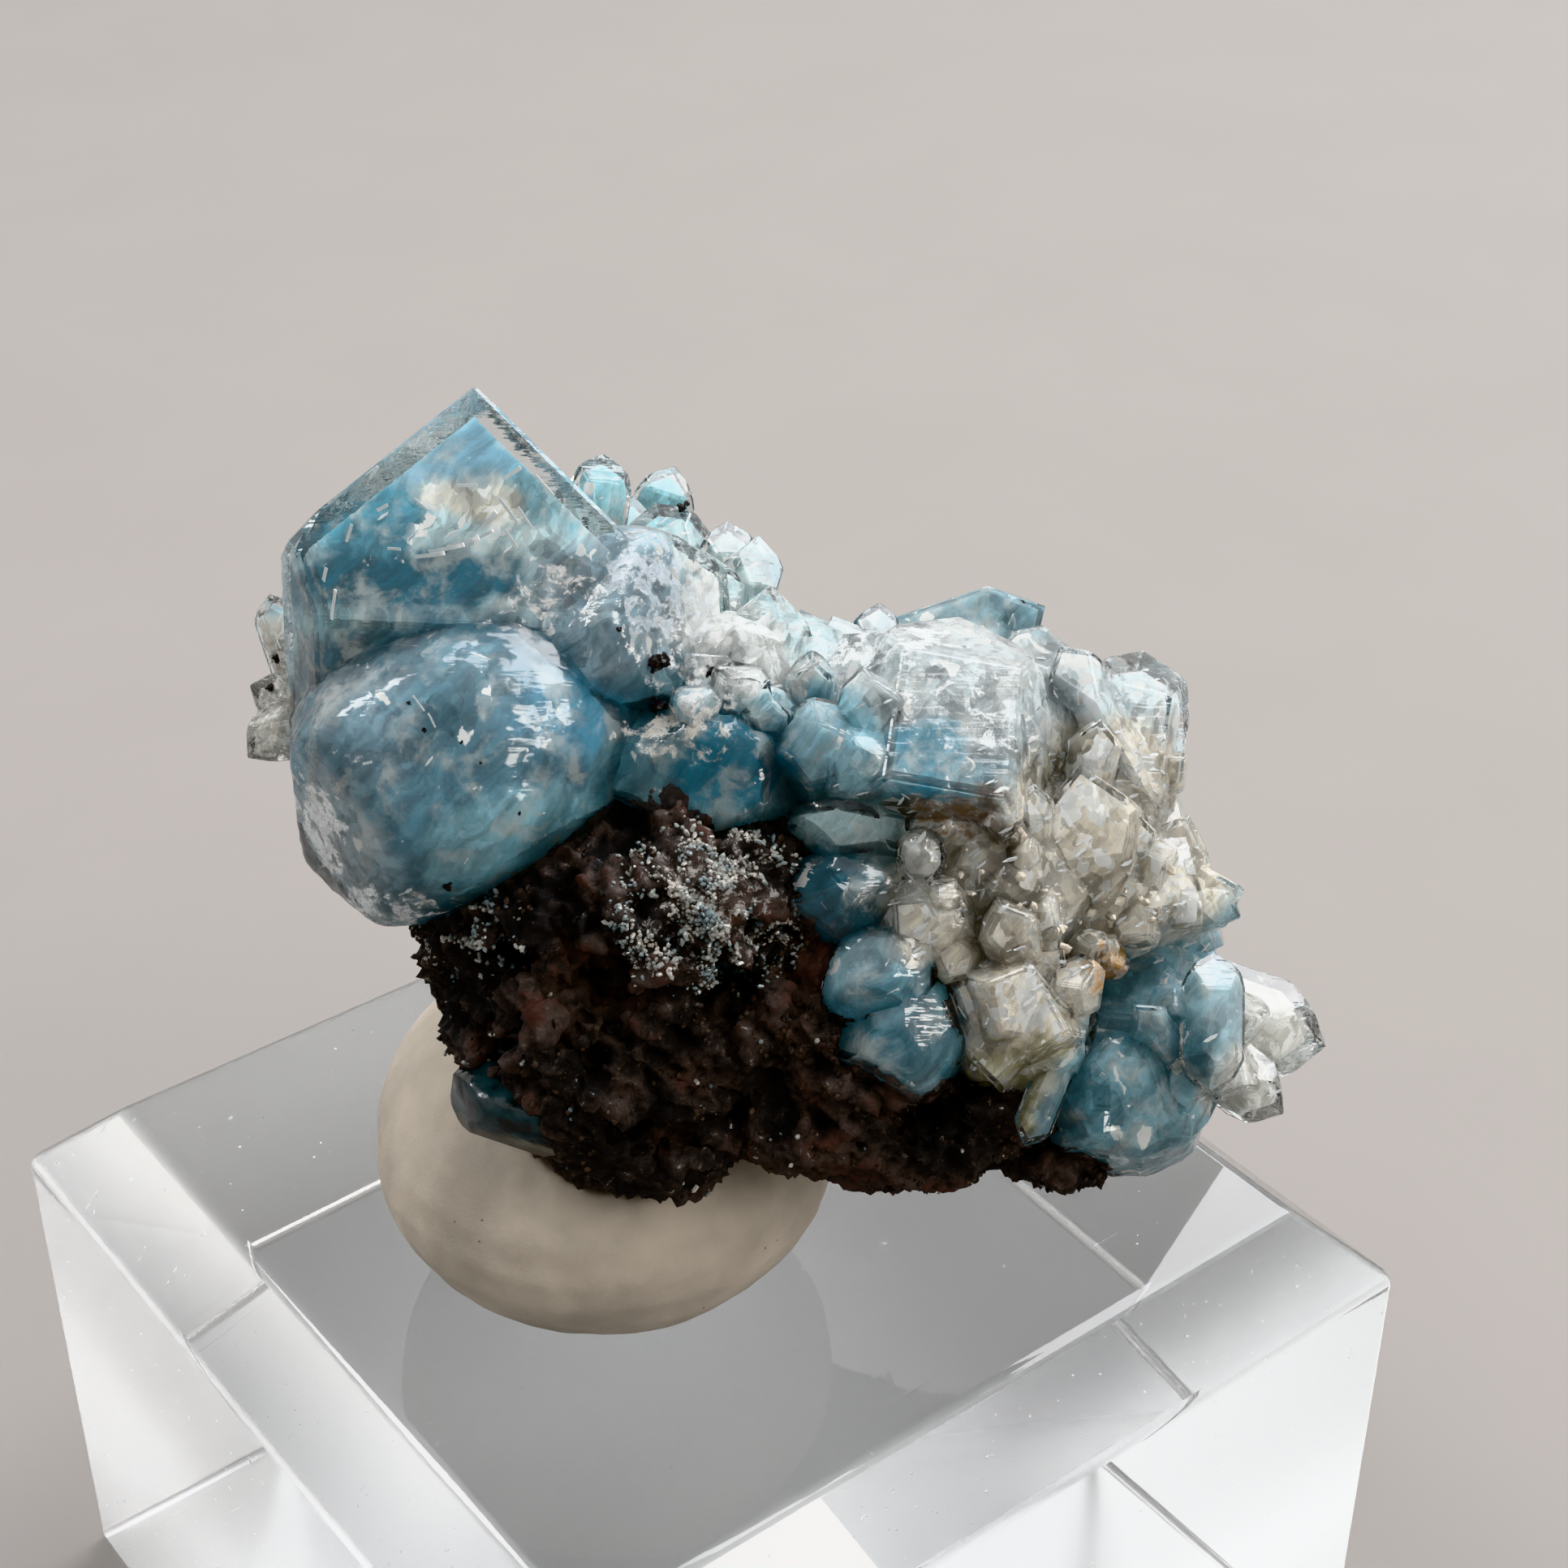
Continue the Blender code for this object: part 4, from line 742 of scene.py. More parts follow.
def inclusion_material():
    """Felted blue shattuckite fibres in milky quartz: matt and mottled in tufts, crowded in places
    with small buried crystals. Each crystal face and each buried crystal gets a painted brightness, as if
    it caught the light its own way, and a few get a painted white highlight.
    """
    made, tree = material_tree("felted_blue_fibres")
    places = display_places(tree)
    tint = add(tree, "ShaderNodeAttribute", out="Color", attribute_name="tint")
    crowd = tint.node.outputs["Alpha"]
    facet = add(tree, "ShaderNodeAttribute", out="Fac", attribute_name="facet")
    drift = wandering(tree, places, 0.8, 0.8)
    # Tufts of fibres 0.3 to 2 mm long, leaning one way
    leaning = add(tree, "ShaderNodeMapping", {"Vector": drift, "Rotation": (0.3, 0.2, -0.75), "Scale": (0.33, 2.2, 1.0)},
                  vector_type="TEXTURE")
    tufts = add(tree, "ShaderNodeTexNoise", {"Vector": leaning, "Scale": 0.9, "Detail": 4.0, "Roughness": 0.62})
    cloud = add(tree, "ShaderNodeTexNoise", {"Vector": drift, "Scale": 0.8, "Detail": 4.0, "Roughness": 0.62})
    # Buried crystals 0.4 to 1.5 mm across
    turned = add(tree, "ShaderNodeMapping", {"Vector": drift, "Rotation": (0.5, 0.2, 0.8), "Scale": (1.0, 0.7, 1.0)})
    coarse = add(tree, "ShaderNodeTexVoronoi", {"Vector": turned, "Scale": 1.1}, out="Color", distance="CHEBYCHEV")
    small = add(tree, "ShaderNodeTexVoronoi", {"Vector": turned, "Scale": 3.0}, out="Color", distance="CHEBYCHEV")
    cell = add(tree, "ShaderNodeMix", {"Factor": 0.45, 6: coarse, 7: small}, out=2, data_type="RGBA")
    # The brightest buried crystals are painted near white and glossier: painted highlights
    bright = add(tree, "ShaderNodeVectorMath", {0: cell, 1: (0.6, 0.4, 0.0)}, out="Value", operation="DOT_PRODUCT")
    spare = add(tree, "ShaderNodeMath", {0: crowd, 1: 0.3, 2: bright}, operation="MULTIPLY_ADD")
    painted_glint = fade(tree, spare, 0.91, 0.95)
    # Painted light: each buried crystal gets its own brightness, as if it caught the light its own way
    painted_facet_light = add(tree, "ShaderNodeMath",
                {0: fade(tree, bright, 0.25, 0.75, -0.3, 0.4), 1: crowd, 2: 0.97}, operation="MULTIPLY_ADD")
    # Painted light again: each crystal face gets its own brightness; the tufts are the fibres' own mottling
    shade = add(tree, "ShaderNodeMath",
                {0: fade(tree, tufts, 0.32, 0.68, 0.74, 1.28), 1: fade(tree, facet, 0.0, 1.0, 0.86, 1.22)},
                operation="MULTIPLY")
    shade = add(tree, "ShaderNodeMath", {0: shade, 1: painted_facet_light}, operation="MULTIPLY")
    # Denser and thinner haze, 2 to 5 mm across
    haze = add(tree, "ShaderNodeTexNoise", {"Vector": drift, "Scale": 0.33, "Detail": 2.0})
    shade = add(tree, "ShaderNodeMath", {0: shade, 1: fade(tree, haze, 0.35, 0.65, 0.82, 1.18)}, operation="MULTIPLY")
    shaded = add(tree, "ShaderNodeVectorMath", {0: tint, "Scale": shade}, operation="SCALE")
    milk = fade(tree, cloud, 0.48, 0.7, 0.0, 0.6)
    shaded = add(tree, "ShaderNodeMix", {"Factor": milk, 6: shaded, 7: linear("#D9DBD5")}, out=2, data_type="RGBA")
    shaded = add(tree, "ShaderNodeMix", {"Factor": painted_glint, 6: shaded, 7: linear("#F4F4F0")}, out=2, data_type="RGBA")
    lean = add(tree, "ShaderNodeVectorMath", {0: cell, 1: (0.5, 0.5, 0.5)}, operation="SUBTRACT")
    lean = add(tree, "ShaderNodeVectorMath", {0: lean, "Scale": crowd}, operation="SCALE")
    upright = add(tree, "ShaderNodeNewGeometry", out="Normal")
    lean = add(tree, "ShaderNodeVectorMath", {0: lean, 1: (1.5, 1.5, 1.5), 2: upright}, operation="MULTIPLY_ADD")
    lean = add(tree, "ShaderNodeVectorMath", {0: lean}, operation="NORMALIZE")
    surface = add(tree, "ShaderNodeBsdfPrincipled",
                  {"Base Color": shaded, "Roughness": fade(tree, painted_glint, 0.0, 1.0, 0.55, 0.15),
                   "Specular IOR Level": 0.5, "Normal": lean, "Subsurface Weight": 0.5,
                   "Subsurface Radius": (1.0, 1.0, 1.0), "Subsurface Scale": 1.0 * MM})
    add(tree, "ShaderNodeOutputMaterial", {"Surface": surface})
    return made


def crack_and_glint_material():
    """Healed cracks in quartz: thin films of tiny bubbles and air, painted white all over so that they always read as
    glints: partly their own milky colour, partly painted highlights.
    """
    made, tree = material_tree("healed_cracks")
    places = display_places(tree)
    film = add(tree, "ShaderNodeTexNoise", {"Vector": places, "Scale": 3.0, "Detail": 4.0})
    surface = add(tree, "ShaderNodeBsdfPrincipled",
                  {"Base Color": linear("#F4F7F7"), "Roughness": fade(tree, film, 0.35, 0.65, 0.12, 0.45)})
    add(tree, "ShaderNodeOutputMaterial", {"Surface": surface})
    return made


def rock_material():
    """Iron and manganese stained rock, broken: matt, crumbly and dark, with rust and pale crumbs. Its
    colour runs from black in its hollows to dull brown on its ribs: partly its own colour, partly painted shade and
    light.
    """
    settings = bpy.context.scene.rock_settings
    made, tree = material_tree("broken_dark_rock")
    places = display_places(tree)
    raised = add(tree, "ShaderNodeAttribute", out="Fac", attribute_name="raised")
    drift = wandering(tree, places, 1.2, 0.8)
    crumbs = add(tree, "ShaderNodeTexNoise", {"Vector": drift, "Scale": 2.6, "Detail": 6.0, "Roughness": 0.75})
    height = add(tree, "ShaderNodeMath", {0: crumbs, 1: 2.6, 2: raised}, operation="MULTIPLY_ADD")
    broad = add(tree, "ShaderNodeTexNoise", {"Vector": drift, "Scale": 0.28, "Detail": 2.0})
    height = add(tree, "ShaderNodeMath", {0: height, 1: fade(tree, broad, 0.38, 0.62, -0.7, 0.15)}, operation="ADD")
    # Near black in the hollows and dull brown on the ribs by the relief's height: partly the rock's own colour, partly
    # painted shade in the hollows and painted light on the ribs
    colour = add(tree, "ShaderNodeMix",
                 {"Factor": fade(tree, height, 0.7, 1.9), 6: (*settings.dark, 1.0), 7: linear("#453D39")},
                 out=2, data_type="RGBA")
    rust = add(tree, "ShaderNodeTexNoise", {"Vector": drift, "Scale": 0.6, "Detail": 5.0, "Roughness": 0.7})
    rusty = add(tree, "ShaderNodeMath", {0: fade(tree, rust, 0.5, 0.62), 1: fade(tree, height, 1.2, 1.9)},
                operation="MULTIPLY")
    colour = add(tree, "ShaderNodeMix", {"Factor": rusty, 6: colour, 7: linear("#452F29")}, out=2, data_type="RGBA")
    # Pale crumbs, under 0.3 mm, thickest just under the middle crystals
    inside = add(tree, "ShaderNodeMapping",
                 {"Vector": drift, "Location": (-2.2, -3.8, 5.5), "Scale": (3.0, 3.0, 5.0)}, vector_type="TEXTURE")
    near = fade(tree, add(tree, "ShaderNodeVectorMath", {0: inside}, out="Value", operation="LENGTH"), 0.3, 1.1, 0.13, 0.0)
    pale = fade(tree, add(tree, "ShaderNodeMath", {0: crumbs, 1: near}, operation="ADD"), 0.62, 0.7)
    colour = add(tree, "ShaderNodeMix", {"Factor": pale, 6: colour, 7: linear("#8F8C88")}, out=2, data_type="RGBA")
    bump = add(tree, "ShaderNodeBump", {"Strength": 0.9, "Distance": 0.12 * MM, "Height": crumbs})
    surface = add(
        tree, "ShaderNodeBsdfPrincipled",
        {"Base Color": colour, "Roughness": fade(tree, crumbs, 0.4, 0.65, 0.9, 0.55), "Normal": bump})
    add(tree, "ShaderNodeOutputMaterial", {"Surface": surface})
    return made


def druse_material():
    """Tiny quartz crystals, natural: glassy grains too small to see into, so they read white."""
    made, tree = material_tree("fine_white_druse")
    places = display_places(tree)
    tone = add(tree, "ShaderNodeTexNoise", {"Vector": places, "Scale": 1.3, "Detail": 3.0})
    colour = add(tree, "ShaderNodeMix",
                 {"Factor": fade(tree, tone, 0.35, 0.65), 6: linear("#8FA0A4"), 7: linear("#D8D4CB")},
                 out=2, data_type="RGBA")
    surface = add(
        tree, "ShaderNodeBsdfPrincipled",
        {"Base Color": colour, "Roughness": 0.18, "IOR": 1.544, "Transmission Weight": 0.45})
    add(tree, "ShaderNodeOutputMaterial", {"Surface": surface})
    return made


def milky_material():
    """Small milky quartz points, natural: glassy faces over a cloudy body, cream at the right end."""
    made, tree = material_tree("milky_quartz_points")
    places = display_places(tree)
    across = add(tree, "ShaderNodeSeparateXYZ", {0: wandering(tree, places, 0.5, 2.0)}, out="X")
    colour = add(tree, "ShaderNodeMix",
                 {"Factor": fade(tree, across, 1.0, 6.0), 6: linear("#D3E3E8"), 7: linear("#EBE2D2")},
                 out=2, data_type="RGBA")
    cloud = add(tree, "ShaderNodeTexNoise", {"Vector": places, "Scale": 2.2, "Detail": 3.0})
    surface = add(
        tree, "ShaderNodeBsdfPrincipled",
        {"Base Color": colour, "Roughness": fade(tree, cloud, 0.35, 0.65, 0.04, 0.25), "IOR": 1.544,
         "Transmission Weight": fade(tree, cloud, 0.35, 0.65, 0.6, 0.3)})
    add(tree, "ShaderNodeOutputMaterial", {"Surface": surface})
    return made


def oxide_material():
    """Manganese oxide, natural grains: black, with a dull half-metal shine on broken edges."""
    made, tree = material_tree("black_oxide")
    places = display_places(tree)
    grain = add(tree, "ShaderNodeTexNoise", {"Vector": places, "Scale": 6.0, "Detail": 5.0})
    colour = add(tree, "ShaderNodeMix",
                 {"Factor": fade(tree, grain, 0.45, 0.7), 6: linear("#0B0908"), 7: linear("#2C2019")},
                 out=2, data_type="RGBA")
    bump = add(tree, "ShaderNodeBump", {"Strength": 0.7, "Distance": 0.06 * MM, "Height": grain})
    surface = add(
        tree, "ShaderNodeBsdfPrincipled",
        {"Base Color": colour, "Roughness": fade(tree, grain, 0.3, 0.7, 0.3, 0.7), "Normal": bump})
    add(tree, "ShaderNodeOutputMaterial", {"Surface": surface})
    return made


def tack_material():
    """Reusable mineral tack, kneaded by hand: matt and putty-like, faintly mottled, with picked-up dust."""
    settings = bpy.context.scene.stand_settings
    made, tree = material_tree("kneaded_mineral_tack")
    place = add(tree, "ShaderNodeTexCoord", out="Object")
    places = add(tree, "ShaderNodeVectorMath", {0: place, 1: (1 / MM,) * 3}, operation="MULTIPLY")
    mottle = add(tree, "ShaderNodeTexNoise", {"Vector": places, "Scale": 0.3, "Detail": 5.0})
    grain = add(tree, "ShaderNodeTexNoise", {"Vector": places, "Scale": 6.0, "Detail": 6.0, "Roughness": 0.7})
    dust = add(tree, "ShaderNodeTexNoise", {"Vector": places, "Scale": 2.1, "Detail": 2.0})
    colour = add(tree, "ShaderNodeMix",
                 {"Factor": fade(tree, mottle, 0.3, 0.7), 6: (*settings.tack_colour, 1.0), 7: linear("#BDB4A6")},
                 out=2, data_type="RGBA")
    colour = add(tree, "ShaderNodeMix",
                 {"Factor": fade(tree, dust, 0.74, 0.78), 6: colour, 7: linear("#6F665A")}, out=2, data_type="RGBA")
    height = add(tree, "ShaderNodeMath", {0: mottle, 1: 4.0, 2: grain}, operation="MULTIPLY_ADD")
    bump = add(tree, "ShaderNodeBump", {"Strength": 0.4, "Distance": 0.08 * MM, "Height": height})
    surface = add(
        tree, "ShaderNodeBsdfPrincipled",
        {"Base Color": colour, "Roughness": 0.78, "Specular IOR Level": 0.3, "Normal": bump,
         "Subsurface Weight": 0.15, "Subsurface Radius": (1.0, 0.7, 0.5), "Subsurface Scale": 0.6 * MM})
    add(tree, "ShaderNodeOutputMaterial", {"Surface": surface})
    return made


def acrylic_material():
    """Cast acrylic, flame-polished and handled: clear, with hairline scratches and a little dust."""
    made, tree = material_tree("polished_clear_acrylic")
    place = add(tree, "ShaderNodeTexCoord", out="Object")
    places = add(tree, "ShaderNodeVectorMath", {0: place, 1: (1 / MM,) * 3}, operation="MULTIPLY")
    # Hairlines about 0.03 mm wide, drawn 0.06 mm wide so that they show
    crossing = [
        add(tree, "ShaderNodeTexNoise",
            {"Vector": add(tree, "ShaderNodeMapping",
                           {"Vector": places, "Rotation": (0, 0, turn), "Scale": (0.05, 3.4, 0.6)}),
             "Scale": 1.0, "Detail": 2.0})
        for turn in (0.35, 1.3)
    ]
    hair = add(tree, "ShaderNodeMath", {0: crossing[0], 1: crossing[1]}, operation="MAXIMUM")
    scratched = fade(tree, hair, 0.75, 0.78)
    # The underside is scuffed from standing on shelves
    low = add(tree, "ShaderNodeSeparateXYZ", {0: places}, out="Z")
    scuffed = fade(tree, low, 0.2, 0.25, 0.45, 0.0)
    dust = fade(tree, add(tree, "ShaderNodeTexNoise", {"Vector": places, "Scale": 3.0, "Detail": 2.0}), 0.73, 0.76)
    marks = add(tree, "ShaderNodeMath", {0: scratched, 1: dust}, operation="MAXIMUM")
    bump = add(tree, "ShaderNodeBump", {"Strength": 0.2, "Distance": 0.02 * MM, "Height": marks})
    rough = add(tree, "ShaderNodeMath", {0: fade(tree, marks, 0.0, 1.0, 0.01, 0.3), 1: scuffed}, operation="MAXIMUM")
    surface = add(
        tree, "ShaderNodeBsdfPrincipled",
        {"Base Color": linear("#E9ECED"), "Roughness": rough, "IOR": 1.49,
         "Transmission Weight": fade(tree, marks, 0.0, 1.0, 1.0, 0.75), "Normal": bump})
    add(tree, "ShaderNodeOutputMaterial", {"Surface": surface})
    return made


def floor_material(colour):
    """Matt studio board, painted: even and pale."""
    made, tree = material_tree("matt_studio_board")
    place = add(tree, "ShaderNodeTexCoord", out="Object")
    tone = add(tree, "ShaderNodeTexNoise", {"Vector": place, "Scale": 60.0, "Detail": 4.0})
    shade = add(tree, "ShaderNodeVectorMath", {0: colour, 1: fade(tree, tone, 0.3, 0.7, 0.99, 1.01)},
                operation="MULTIPLY")
    surface = add(tree, "ShaderNodeBsdfPrincipled", {"Base Color": shade, "Roughness": 0.9, "Specular IOR Level": 0.2})
    add(tree, "ShaderNodeOutputMaterial", {"Surface": surface})
    return made


def scatter_tree(name):
    """Geometry nodes that set one small grain many times on a surface, thickest where its attribute is high."""
    tree = bpy.data.node_groups.new(name, "GeometryNodeTree")
    face = tree.interface
    face.new_socket("Geometry", in_out="INPUT", socket_type="NodeSocketGeometry")
    face.new_socket("Grain", in_out="INPUT", socket_type="NodeSocketObject")
    face.new_socket("Surface", in_out="INPUT", socket_type="NodeSocketMaterial")
    for label, kind in (("Grains per square metre", "Float"), ("Smallest", "Float"), ("Largest", "Float"),
                        ("Lean", "Float"), ("Seed", "Int")):
        face.new_socket(label, in_out="INPUT", socket_type=f"NodeSocket{kind}")
    face.new_socket("Geometry", in_out="OUTPUT", socket_type="NodeSocketGeometry")
    given = tree.nodes.new("NodeGroupInput").outputs
    where = add(tree, "GeometryNodeInputNamedAttribute", {"Name": "where"}, data_type="FLOAT")
    density = add(tree, "ShaderNodeMath", {0: where, 1: given["Grains per square metre"]}, operation="MULTIPLY")
    spread = tree.nodes.new("GeometryNodeDistributePointsOnFaces")
    spread.distribute_method = "RANDOM"
    for socket, value in (("Mesh", given["Geometry"]), ("Density", density), ("Seed", given["Seed"])):
        tree.links.new(value, spread.inputs[socket])
    lean = add(tree, "ShaderNodeVectorMath", {0: (1, 1, 1), 1: given["Lean"]}, operation="MULTIPLY")
    low = add(tree, "ShaderNodeVectorMath", {0: lean, 1: (-1, -1, -1)}, operation="MULTIPLY")
    tilt = add(tree, "FunctionNodeRandomValue", {0: low, 1: lean, "Seed": given["Seed"]}, data_type="FLOAT_VECTOR")
    way = add(tree, "ShaderNodeVectorMath", {0: spread.outputs["Normal"], 1: tilt}, operation="ADD")
    turned = add(tree, "FunctionNodeAlignRotationToVector", {"Vector": way}, axis="Z")
    size = add(tree, "FunctionNodeRandomValue", {2: given["Smallest"], 3: given["Largest"], "Seed": given["Seed"]},
               out=1, data_type="FLOAT")
    grain = add(tree, "GeometryNodeObjectInfo", {"Object": given["Grain"]}, out="Geometry")
    placed = add(tree, "GeometryNodeInstanceOnPoints",
                 {"Points": spread.outputs["Points"], "Instance": grain, "Rotation": turned, "Scale": size})
    real = add(tree, "GeometryNodeRealizeInstances", {"Geometry": placed})
    dressed = add(tree, "GeometryNodeSetMaterial", {"Geometry": real, "Material": given["Surface"]})
    end = tree.nodes.new("NodeGroupOutput")
    tree.links.new(dressed, end.inputs[0])
    return tree


def scattered(tree, carrier, grain, surface, per_mm2, smallest, largest, lean, seed):
    """A plain mesh of grains on the carrier mesh, which is in metres and holds the attribute where."""
    holder = bpy.data.objects.new("carrier", carrier)
    seed_grain = scratch_object(grain, "grain")
    bpy.context.scene.collection.objects.link(holder)
    bpy.context.scene.collection.objects.link(seed_grain)
    modifier = holder.modifiers.new("Scatter", "NODES")
    modifier.node_group = tree
    values = {"Grain": seed_grain, "Surface": surface, "Grains per square metre": per_mm2 / MM ** 2,
              "Smallest": smallest * MM, "Largest": largest * MM, "Lean": lean, "Seed": seed}
    for item in tree.interface.items_tree:
        if item.in_out == "INPUT" and item.name in values:
            modifier[item.identifier] = values[item.name]
    bpy.context.view_layer.update()
    mesh = bpy.data.meshes.new_from_object(holder.evaluated_get(bpy.context.evaluated_depsgraph_get()))
    bpy.data.objects.remove(holder)
    bpy.data.objects.remove(seed_grain)
    if not mesh.polygons:
        raise RuntimeError("no grain was set")
    return mesh


def mark_where(mesh, share):
    """Stores how thickly grains lie at each corner point of the mesh."""
    places = np.zeros(len(mesh.vertices) * 3, np.float32)
    mesh.vertices.foreach_get("co", places)
    normals = np.zeros(len(mesh.vertices) * 3, np.float32)
    mesh.vertex_normals.foreach_get("vector", normals)
    marked = mesh.attributes.get("where") or mesh.attributes.new("where", "FLOAT", "POINT")
    marked.data.foreach_set("value", share(places.reshape(-1, 3), normals.reshape(-1, 3)).astype(np.float32))


def little_point():
    """A stubby quartz point about 1 across and 2 long, its foot below zero."""
    bm = bmesh.new()
    bmesh.ops.create_cone(bm, segments=6, radius1=0.5, radius2=0.5, depth=1.2, cap_ends=True)
    bmesh.ops.translate(bm, verts=bm.verts, vec=(0, 0, 0.0))
    top = bmesh.ops.poke(bm, faces=[max(bm.faces, key=lambda f: f.calc_center_median().z)])
    for vert in top["verts"]:
        vert.co.z += 0.55
    return bm


def flake():
    """A thin sliver about 1 long."""
    bm = bmesh.new()
    bmesh.ops.create_cone(bm, segments=5, radius1=0.5, radius2=0.42, depth=0.05, cap_ends=True)
    for vert in bm.verts:
        vert.co.y *= 0.24
    return bm


def skin_tree():
    """The outside of the quartz in the display frame, ready for finding places on it."""
    bm = bmesh.new()
    bm.from_mesh(bpy.data.objects["quartz_surface"].data)
    bm.transform(TO_ROW.inverted())
    tree = BVHTree.FromBMesh(bm)
    bm.free()
    return tree


def crumb(seed):
    """An angular crumb about 1 across."""
    bm = bmesh.new()
    bmesh.ops.create_icosphere(bm, subdivisions=1, radius=0.5)
    chance = random.Random(seed)
    for vert in bm.verts:
        vert.co *= chance.uniform(0.65, 1.1)
    return bm


def blob(places, centre, radii):
    """1 at the centre of an ellipsoid, falling to 0 at its surface."""
    reach = np.linalg.norm((places - np.array(centre)) / np.array(radii), axis=1)
    return np.clip(1.3 - 1.3 * reach, 0, 1)


class QUARTZ_OT_cluster(bpy.types.Operator):
    """Builds the clear outside of the quartz cluster"""

    bl_idname = "quartz.cluster"
    bl_label = "Quartz cluster"

    def execute(self, context):
        settings = context.scene.quartz_settings
        mesh = finely_divided(grown_together(quartz_shapes(wear=settings.edge_wear / MM)), 0.9)
        painted(mesh, FROST_AND_HIGHLIGHT_ZONES, "frost_and_highlight", (*linear("#DFE6E8")[:3], 0.0), 0.8, 0.5)
        shade_quartz(mesh)
        finished(mesh, "quartz_surface", clear_quartz_material(), ("quartz_cluster",), TO_ROW)
        return {"FINISHED"}


class QUARTZ_OT_inclusions(bpy.types.Operator):
    """Builds the body of blue inclusions under the clear rims"""

    bl_idname = "quartz.inclusions"
    bl_label = "Blue inclusions"

    def execute(self, context):
        settings = context.scene.quartz_settings
        mesh = finely_divided(grown_together(quartz_shapes(1.0, settings.clear_depth / MM)), 0.45)
        painted(mesh, CLOUD_ZONES, "tint", (*settings.blue, 0.6), 0.55, 0.2, 2)
        shade_quartz(mesh)
        finished(mesh, "inclusions", inclusion_material(), (), TO_ROW)
        return {"FINISHED"}


class QUARTZ_OT_cracks(bpy.types.Operator):
    """Sets the healed cracks in the clear rims, painted white as glints"""

    bl_idname = "quartz.cracks"
    bl_label = "Healed cracks"

    def execute(self, context):
        settings = context.scene.quartz_settings
        surface = crack_and_glint_material()
        carrier = finely_divided(grown_together(quartz_shapes(0.6, settings.clear_depth / MM)), 0.8)
        painted(carrier, CLOUD_ZONES, "tint", (*settings.blue, 0.6), 0.55, 0.2, 2)
        crowd = np.zeros(len(carrier.vertices) * 4, np.float32)
        carrier.attributes["tint"].data.foreach_get("color", crowd)
        carrier.transform(TO_ROW)
        mark_where(carrier, lambda places, normals: np.clip(crowd[3::4] * 2.0 - 1.1, 0.01, 1))
        mesh = scattered(scatter_tree("cracks_and_glints_in_rims"), carrier, flake(), surface, 2.0, 0.15, 0.7, 0.7, 17)
        bpy.data.meshes.remove(carrier)
        bm = bmesh.new()
        bm.from_mesh(mesh)
        skin = skin_tree()
        for across, up, length, breadth, turn in GLINTS:
            hit, normal, _, _ = skin.ray_cast(Vector((across, up, 40.0)), Vector((0, 0, -1)))
            if hit is None:
                raise RuntimeError("a crack lies outside the tall crystal")
            fresh = bmesh.ops.create_cube(bm, size=1.0)["verts"]
            out = (normal + Vector((-0.12, 0.2, 0.1))).normalized()
            side = (Vector((1, 0, 0)) - out * out.x).normalized()
            lie = Matrix((side, out.cross(side), out)).transposed().to_4x4()
            place = (Matrix.Translation(hit - normal * 0.5) @ lie @ Matrix.Rotation(math.radians(turn), 4, "Z")
                     @ Matrix.Diagonal((length, breadth, 0.03, 1.0)))
            bmesh.ops.transform(bm, matrix=TO_ROW @ place, verts=fresh)
        bm.to_mesh(mesh)
        bm.free()
        finished(mesh, "healed_cracks", surface)
        return {"FINISHED"}


class QUARTZ_OT_points(bpy.types.Operator):
    """Sets small quartz points on the broken surfaces at the right side and the left end"""

    bl_idname = "quartz.points"
    bl_label = "Small quartz points"

    def execute(self, context):
        skin = bpy.data.objects["quartz_surface"]
        carrier = skin.data.copy()
        facet = np.zeros(len(carrier.polygons), np.float32)
        carrier.attributes["facet"].data.foreach_get("value", facet)
        rough = np.zeros(len(carrier.vertices), np.float32)
        for face in carrier.polygons:
            if 1.6 < facet[face.index] < 2.4:
                rough[list(face.vertices)] = 1.0
        to_display = np.array(TO_ROW.inverted())

        def share(places, normals):
            shown = places @ to_display[:3, :3].T + to_display[:3, 3]
            near = blob(shown, (9.0, -3.2, 4.0), (4.6, 4.2, 6.0)) + blob(shown, (-17.0, 2.5, 1.0), (2.4, 3.4, 4.0))
            return np.clip(near * 2.0, 0, 1) * rough

        mark_where(carrier, share)
        surface = milky_material()
        mesh = scattered(scatter_tree("points_on_quartz"), carrier, little_point(), surface, 1.2, 0.12, 0.34, 0.45, 23)
        bpy.data.meshes.remove(carrier)
        finished(mesh, "small_points", surface)
        return {"FINISHED"}


